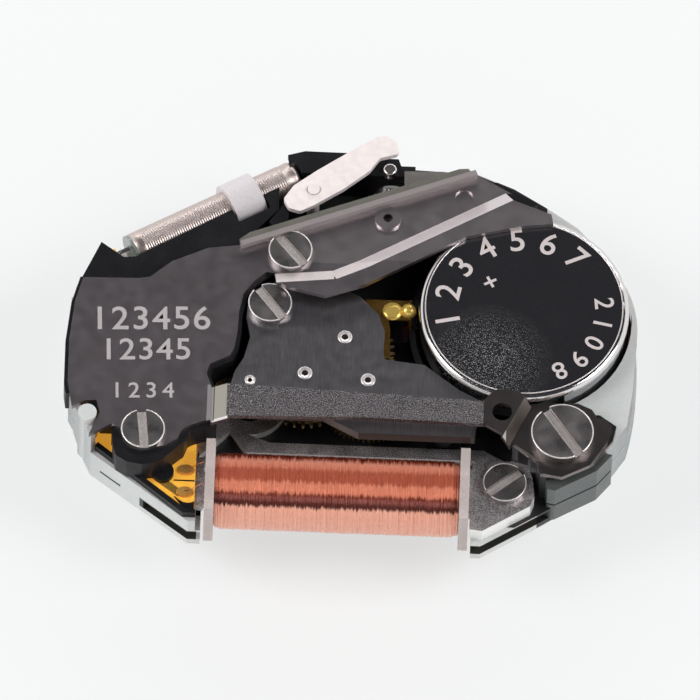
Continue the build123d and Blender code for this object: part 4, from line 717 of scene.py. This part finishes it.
from_rear = maths(copper, "SUBTRACT", place["Y"], COIL_MIDDLE[0] * MM)
from_top = maths(copper, "SUBTRACT", place["Z"], COIL_MIDDLE[1] * MM)
gone = maths(copper, "ADD", maths(copper, "MULTIPLY", from_rear, REFLECTION_REAR),
             maths(copper, "MULTIPLY", from_top, REFLECTION_DOWN))
walked = maths(copper, "ADD", maths(copper, "DIVIDE", gone, REFLECTION_SPAN * MM), 0.5)
uneven = maths(copper, "SUBTRACT", grain(copper, RAG_SIZE, RAG_STRETCH, RAG_DETAIL), 0.5)
ragged = maths(copper, "MULTIPLY", uneven, RAG_SHARE)
painted_reflections = node(copper, "ValToRGB", {"Fac": maths(copper, "ADD", walked, ragged)})
bands = painted_reflections.color_ramp.elements
while len(bands) < len(REFLECTION_BANDS):
    bands.new(1.0)
for element, (share, colour) in zip(bands, REFLECTION_BANDS):
    element.position = share
    element.color = (*colour, 1)
streaks = shader_of(copper).inputs["Base Color"].links[0].from_socket
inputs = {"Fac": REFLECTIONS_OVER_STREAKS, "Color1": streaks, "Color2": painted_reflections.outputs["Color"]}
link(copper, node(copper, "MixRGB", inputs).outputs[0], "Base Color")
print("bands on the coil:", [round(element.position, 3) for element in bands])
coil_wire = piece("coil_wire", *skin(rings), copper, "copper_wire")
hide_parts("coil_winding")

# %% [markdown]
# ## The crystal's can
# A tuning-fork crystal sits in a small drawn can, with fine rings pressed round it. The CAD can is a
# plain tube, so this piece stands for it with the rings as real ridges.

# %% Ribbed can
CAN_START = Vector((-6.937, 3.359, 1.61))
CAN_DIRECTION = math.radians(30.3)
CAN_RADIUS, CAN_LENGTH, CAN_WALL, CAN_ROUND = 0.62, 6.0, 0.08, 0.20
CAN_CHAMFER, CAN_TIP, CAN_SHOULDER, CAN_ARC = 0.03, 0.01, 0.16, 6
RIB_PITCH, RIB_DEPTH = 0.082, 0.022
RIBS_FROM, RIBS_SHORT = 0.3, 0.5
RIB_FLAT, RIB_VALLEY = 0.5, 0.75
along = Vector((math.cos(CAN_DIRECTION), math.sin(CAN_DIRECTION), 0))
across = Vector((-math.sin(CAN_DIRECTION), math.cos(CAN_DIRECTION), 0))
upward = Vector((0, 0, 1))


def can_ring(distance, radius, count=72):
    """A ring of points about the can's axis."""
    centre = CAN_START + along * distance
    angles = [2 * math.pi * i / count for i in range(count)]
    return [centre + radius * (across * math.cos(a) + upward * math.sin(a)) for a in angles]


profile = [(0.0, CAN_RADIUS - CAN_CHAMFER), (CAN_CHAMFER, CAN_RADIUS)]
ribs = int((CAN_LENGTH - CAN_ROUND - RIBS_SHORT) / RIB_PITCH)
for number in range(ribs):
    start = RIBS_FROM + number * RIB_PITCH
    profile += [(start, CAN_RADIUS), (start + RIB_PITCH * RIB_FLAT, CAN_RADIUS),
                (start + RIB_PITCH * RIB_VALLEY, CAN_RADIUS - RIB_DEPTH)]
for number in range(CAN_ARC + 1):
    angle = math.pi / 2 * number / CAN_ARC
    profile.append((CAN_LENGTH - CAN_ROUND + CAN_ROUND * math.sin(angle),
                    CAN_RADIUS - CAN_ROUND + CAN_ROUND * math.cos(angle)))
profile += [(CAN_LENGTH, CAN_TIP), (CAN_LENGTH - CAN_WALL, CAN_TIP),
            (CAN_LENGTH - CAN_WALL, CAN_RADIUS - CAN_SHOULDER),
            (CAN_LENGTH - CAN_ROUND, CAN_RADIUS - CAN_WALL), (0.0, CAN_RADIUS - CAN_WALL)]
can_rings = [can_ring(distance, radius) for distance, radius in profile]
can_points, can_faces = skin(can_rings + [can_rings[0]], capped=False)
can_steel = surface("can_nickel", (0.60, 0.51, 0.48), 0.9, 0.36, 0.03, shade=0.16, depth=0.002)
ribbed_can = piece("ribbed_can", can_points, can_faces, can_steel, "crystal_metal")
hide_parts("crystal_can")
print("rings on the can:", ribs)

# %% [markdown]
# ## Screw rims and slots
# A screw head's rim carries a painted highlight, a fine bright line, and the slot's floor carries a painted
# highlight too. Each head gets a thin bead round its top edge and a shallow floor strip in its slot.

# %% Rims and slot floors
# Each head has its place, radius, slot's turn in degrees, top and slot's depth.
SLOT_DEEP = 0.13
LARGE_SLOT_DEEP = SLOT_DEEP * 17 / 12
HEADS = [(LEFT_SCREW, 0.70, 96, 2.97, SLOT_DEEP), (REAR_SCREW, 0.70, 130, 2.97, SLOT_DEEP),
         (middle("bridge_screw"), 0.70, 128, 2.74, SLOT_DEEP),
         (middle("coil_screw"), 0.70, 40, 1.69, SLOT_DEEP),
         (middle("clamp_screw"), 1.00, 125, 2.94, LARGE_SLOT_DEEP)]
SLOT_HALF, SLOT_CLEAR, RIM_STEPS, FLOOR_SHORT = 0.142, 0.02, 40, 0.03
RIM_SECTION = [(-0.035, -0.004), (-0.03, 0.006), (-0.015, 0.012), (0.004, 0.004), (0.010, -0.014),
               (0.004, -0.030)]
FLOOR_SECTION = [(-SLOT_HALF, 0.002), (-SLOT_HALF, 0.035), (-0.05, 0.014), (0.05, 0.014),
                 (SLOT_HALF, 0.035), (SLOT_HALF, 0.002)]
rim_highlight_steel = surface("rim_highlight_steel", (0.85, 0.80, 0.78), 0.55, 0.30, 0.05, shade=0.10)
slot_highlight_steel = surface("slot_highlight_steel", (0.52, 0.475, 0.46), 0.25, 0.40, 0.06, shade=0.16, depth=0.002)
rims, floors = [], []
for (x, y), radius, turn, top, deep in HEADS:
    half_turn = math.acos(1 - SLOT_HALF ** 2 / 2 / radius ** 2) + SLOT_CLEAR
    for start in (turn, turn + 180):
        first = math.radians(start) + half_turn
        angles = [first + (math.pi - 2 * half_turn) * i / RIM_STEPS for i in range(RIM_STEPS + 1)]
        rims.append(skin([[(x + (radius + more) * math.cos(a), y + (radius + more) * math.sin(a), top + rise)
                           for more, rise in RIM_SECTION] for a in angles]))
    half = math.sqrt((radius - FLOOR_SHORT) ** 2 - SLOT_HALF ** 2)
    c, s = math.cos(math.radians(turn)), math.sin(math.radians(turn))
    ends = [[(x + c * way - s * w, y + s * way + c * w, top - deep + rise) for w, rise in FLOOR_SECTION]
            for way in (-half, 0.0, half)]
    floors.append(skin(ends))
piece("screw_rims", *gather(rims), rim_highlight_steel, "screw_steel")
piece("slot_floors", *gather(floors), slot_highlight_steel, "screw_steel", smooth=False)

# %% [markdown]
# ## Jewel-like pits on the bridge
# Each train arbor ends in a small oil sink on the bridge. A rim with a painted highlight runs round it, and
# the middle of the three larger ones carries painted shade. The rims are turned rings, one mesh for all four.

# %% Pivot rims
BRIDGE_TOP = 2.50
PIVOTS = [(0.0, 0.0), (0.795, -1.568), (-1.245, -1.397), (-3.009, -1.737)]
RIM = [(0.10, 0.001), (0.115, 0.006), (0.185, 0.030), (0.210, 0.032), (0.230, 0.020), (0.240, 0.001)]
SMALL_RIM = 0.75
SINK_DISC = [(0.105, 0.001), (0.105, 0.004)]
forms = []
for pivot in PIVOTS:
    size = SMALL_RIM if pivot == PIVOTS[-1] else 1.0
    rings = turned(pivot, [(radius * size, BRIDGE_TOP + rise) for radius, rise in RIM])
    forms.append(skin(rings + [rings[0]], capped=False))
piece("pivot_rims", *gather(forms), rim_highlight_steel, "bright_steel")
sink_shade_black = surface("sink_shade_black", (0.02, 0.018, 0.016), 0, 0.2, 0.03, shade=0.2)
disc = [(radius, BRIDGE_TOP + rise) for radius, rise in SINK_DISC]
forms = [skin(turned(pivot, disc)) for pivot in PIVOTS[:3]]
piece("oil_sinks", *gather(forms), sink_shade_black, "bright_steel", smooth=False)
print("pivots:", len(PIVOTS))

# %% [markdown]
# ## Marks
# Plain digits are stamped in the cover and etched on the cell. Blender's own text objects give the
# outlines, and each digit is set on its own, so that a row can run straight or round an arc.

# %% Stamped digits
DIGIT_SHARE, DIGIT_BOLD, DIGIT_THICK = 0.70, 0.012, 0.004
mark_pale = surface("mark_pale", (0.46, 0.42, 0.42), 0.0, 0.5, 0.03, shade=0.12)
engraved_pale = surface("engraved_pale", (0.62, 0.56, 0.55), 0.0, 0.45, 0.03, shade=0.12)


def digit(sign, place, level, high, angle, thick=DIGIT_THICK):
    """The form of one sign, lying flat, with its middle at a place. Sizes are in millimetres."""
    font = bpy.data.curves.new("sign", "FONT")
    font.body = sign
    font.size = high / DIGIT_SHARE
    font.extrude = thick
    font.offset = DIGIT_BOLD * high
    made = bpy.data.objects.new("sign", font)
    mesh = bpy.data.meshes.new_from_object(made)
    xs = [v.co.x for v in mesh.vertices]
    ys = [v.co.y for v in mesh.vertices]
    middle_x, middle_y = (min(xs) + max(xs)) / 2, (min(ys) + max(ys)) / 2
    c, s = math.cos(angle), math.sin(angle)
    points = []
    for vertex in mesh.vertices:
        x, y = vertex.co.x - middle_x, vertex.co.y - middle_y
        points.append((place[0] + c * x - s * y, place[1] + s * x + c * y, level + vertex.co.z))
    faces = [tuple(face.vertices) for face in mesh.polygons]
    bpy.data.objects.remove(made)
    bpy.data.curves.remove(font)
    return points, faces


def row(signs, middle_place, level, high, gap, angle):
    """A straight row of digits about its middle."""
    forms = []
    for number, sign in enumerate(signs):
        along_row = (number - (len(signs) - 1) / 2) * gap
        place = (middle_place[0] + along_row * math.cos(angle), middle_place[1] + along_row * math.sin(angle))
        forms.append(digit(sign, place, level, high, angle))
    return forms


def arc(signs, radius, start, turn_each, level, high):
    """Digits round the cell, their tops outward. Angles are in degrees from the X axis."""
    forms = []
    for number, sign in enumerate(signs):
        angle = math.radians(start - number * turn_each)
        place = (CELL_PLACE[0] + radius * math.cos(angle), CELL_PLACE[1] + radius * math.sin(angle))
        forms.append(digit(sign, place, level, high, angle - math.pi / 2))
    return forms


COVER_TOP = 2.73
ROW_TURN = math.radians(2.5)
# Each row has its digits, its middle, their height and the step between them.
COVER_ROWS = [("123456", (-6.28, 0.30), 0.84, 0.66), ("12345", (-6.40, -0.86), 0.78, 0.60),
              ("1234", (-6.45, -2.39), 0.56, 0.55)]
# Each arc has its digits, its radius, the angle of the first, the step in degrees and their height.
REAR_ARC = ("1234567", 2.52, 193, 24, 0.80)
FRONT_ARC = ("89012", 2.60, -62, -17, 0.62)
PLUS_PLACE, PLUS_HIGH, PLUS_TURN = (4.62, 2.06), 0.62, math.radians(28)
rows = []
for signs, spot, high, gap in COVER_ROWS:
    rows += row(signs, spot, COVER_TOP, high, gap, ROW_TURN)
piece("cover_marks", *gather(rows), mark_pale, "cover_steel", smooth=False)
signs = (arc(*REAR_ARC[:4], CELL_TOP, REAR_ARC[4]) + arc(*FRONT_ARC[:4], CELL_TOP, FRONT_ARC[4])[::-1]
         + [digit("+", PLUS_PLACE, CELL_TOP, PLUS_HIGH, PLUS_TURN)])
piece("cell_marks", *gather(signs), engraved_pale, "cell_steel", smooth=False)
print("digits on the cover:", len(rows), "signs on the cell:", len(signs))

# %% [markdown]
# ## The cell's rim
# The can's edge was rolled over its seal, which leaves a fine raised line just inside the rim. The line
# carries a painted highlight.

# %% Rim line
BEAD = [(3.17, 0.0), (3.178, 0.006), (3.19, 0.008), (3.202, 0.006), (3.21, 0.0)]
BEAD_STEPS = 160
rings = turned(CELL_PLACE, [(radius, CELL_TOP + rise) for radius, rise in BEAD], BEAD_STEPS)
piece("cell_bead", *skin(rings + [rings[0]], capped=False), rim_highlight_steel, "cell_steel")
print("bead points:", BEAD_STEPS * len(BEAD))

# %% [markdown]
# ## The rear lip of the arm
# Behind its upturned edge, the cover's arm has a narrow flat lip that is duller than the rest.

# %% Arm lip
ARM_START, ARM_END = (-3.496, 3.148), (4.02, 6.14)
LIP_LOW, LIP_HIGH, LIP_OUT = 2.56, 2.60, 0.42


def off_arm(share, out):
    """A point along the arm's rear line, moved outward."""
    x = ARM_START[0] + share * (ARM_END[0] - ARM_START[0]) + out * ARM_REAR[0]
    y = ARM_START[1] + share * (ARM_END[1] - ARM_START[1]) + out * ARM_REAR[1]
    return x, y


LIP_CORNERS = [(0.0, 0.0), (1.0, 0.0), (0.985, 0.8), (0.95, 1.0), (0.06, 1.0), (0.01, 0.7)]
lip_outline = [off_arm(share, LIP_OUT * out) for share, out in LIP_CORNERS]
lip_steel = surface("lip_steel", (0.20, 0.19, 0.165), 0.5, 0.5, 0.04, shade=0.10)
piece("arm_lip", *slab(lip_outline, LIP_LOW, LIP_HIGH), lip_steel, "cover_steel", smooth=False)
print("lip corners:", len(lip_outline))

# %% [markdown]
# ## Small things at the coil's left end
# The winding's ends are soldered to two pads on the amber board, which has a slit between them. The
# board's end is rounded where it meets the black rail. Each wire end is a curve with a round section.

# %% Board slit, rail corner and wire ends
BOARD_TOP = 1.53
SLIT_RISE, PAD_RISE = 0.008, 0.10
PAD_TOP = BOARD_TOP + PAD_RISE
SLIT_OUTLINE = [(-5.33, -5.03), (-4.66, -5.03), (-4.66, -4.98), (-5.33, -4.98)]
CORNER_OUTLINE = [(-5.30, -5.62), (-5.16, -5.76), (-5.02, -5.85), (-4.86, -5.88), (-4.72, -5.85),
                  (-4.65, -5.80), (-4.65, -6.15), (-4.92, -6.15)]
forms = [slab(SLIT_OUTLINE, BOARD_TOP, BOARD_TOP + SLIT_RISE), slab(CORNER_OUTLINE, BOARD_TOP, PAD_TOP)]
piece("board_slit", *gather(forms), black_plastic, "black_plastic", smooth=False)
WIRE_RADIUS = 0.012
WIRE_ENDS = [[(-4.39, -4.55, 1.98), (-4.52, -4.56, 1.93), (-4.70, -4.60, 1.74), (-4.97, -4.62, PAD_TOP)],
             [(-4.39, -5.30, 1.90), (-4.52, -5.33, 1.86), (-4.70, -5.40, 1.72), (-4.97, -5.44, PAD_TOP)]]
for number, points in enumerate(WIRE_ENDS):
    path = bpy.data.curves.new("wire_end_%d" % (number + 1), "CURVE")
    path.dimensions = "3D"
    path.bevel_depth = WIRE_RADIUS * MM
    path.bevel_resolution = 3
    spline = path.splines.new("NURBS")
    spline.points.add(len(points) - 1)
    for spot, point in zip(spline.points, points):
        spot.co = (*(Vector(point) * MM), 1)
    spline.order_u = 3
    spline.use_endpoint_u = True
    wire_end = bpy.data.objects.new(path.name, path)
    scene.collection.objects.link(wire_end)
    path.materials.append(copper)
    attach(wire_end, "frame")
print("wire ends:", len(WIRE_ENDS))

# %% [markdown]
# ## The slit in the front wall
# A short moulded slit runs along the plate's front left wall. A thin black strip in it is painted shade, a
# thin dark line from a step away.

# %% Wall slit
WALL_START, WALL_END = Vector((-8.05, -4.053)), Vector((-4.848, -6.453))
SLIT_FROM, SLIT_TO, SLIT_LEVEL, SLIT_HIGH = 0.10, 0.31, 0.62, 0.09
SLIT_IN, SLIT_OUT = -0.01, 0.006
wall_way = (WALL_END - WALL_START).normalized()
wall_out = Vector((wall_way.y, -wall_way.x))
reach = [WALL_START.lerp(WALL_END, share) for share in (SLIT_FROM, SLIT_TO)]
outline = [reach[0] + SLIT_IN * wall_out, reach[1] + SLIT_IN * wall_out, reach[1] + SLIT_OUT * wall_out,
           reach[0] + SLIT_OUT * wall_out]
piece("wall_slit", *slab([tuple(p) for p in outline], SLIT_LEVEL, SLIT_LEVEL + SLIT_HIGH), black_plastic,
      "plate_plastic", smooth=False)
print("wall slit length", round((reach[1] - reach[0]).length, 2), "mm")

# %% [markdown]
# ## The contact's bumps
# The gilt contact beside the cell has two round bumps, pressed so that it touches at points. The bumps' gilt
# is paler than the contact's: a painted highlight.

# %% Contact bumps
bump_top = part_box("negative_contact")[1].z / MM
# Each bump has its place, radius and rise.
BUMPS = [(1.50, 1.25, 0.34, 0.12), (2.02, 1.27, 0.26, 0.26)]
BUMP_STEPS, BUMP_COUNT = 8, 32
forms = []
for x, y, radius, rise in BUMPS:
    angles = [math.pi / 2 * i / BUMP_STEPS for i in range(BUMP_STEPS + 1)]
    dome = [(radius * math.cos(a), bump_top + rise * math.sin(a)) for a in angles]
    forms.append(skin(turned((x, y), dome, BUMP_COUNT)))
bump_gilt_highlight = surface("bump_gilt_highlight", (1.0, 0.66, 0.16), 0.5, 0.22, 0.05, shade=0.08)
piece("contact_bumps", *gather(forms), bump_gilt_highlight, "gilt")
print("contact top", bump_top)
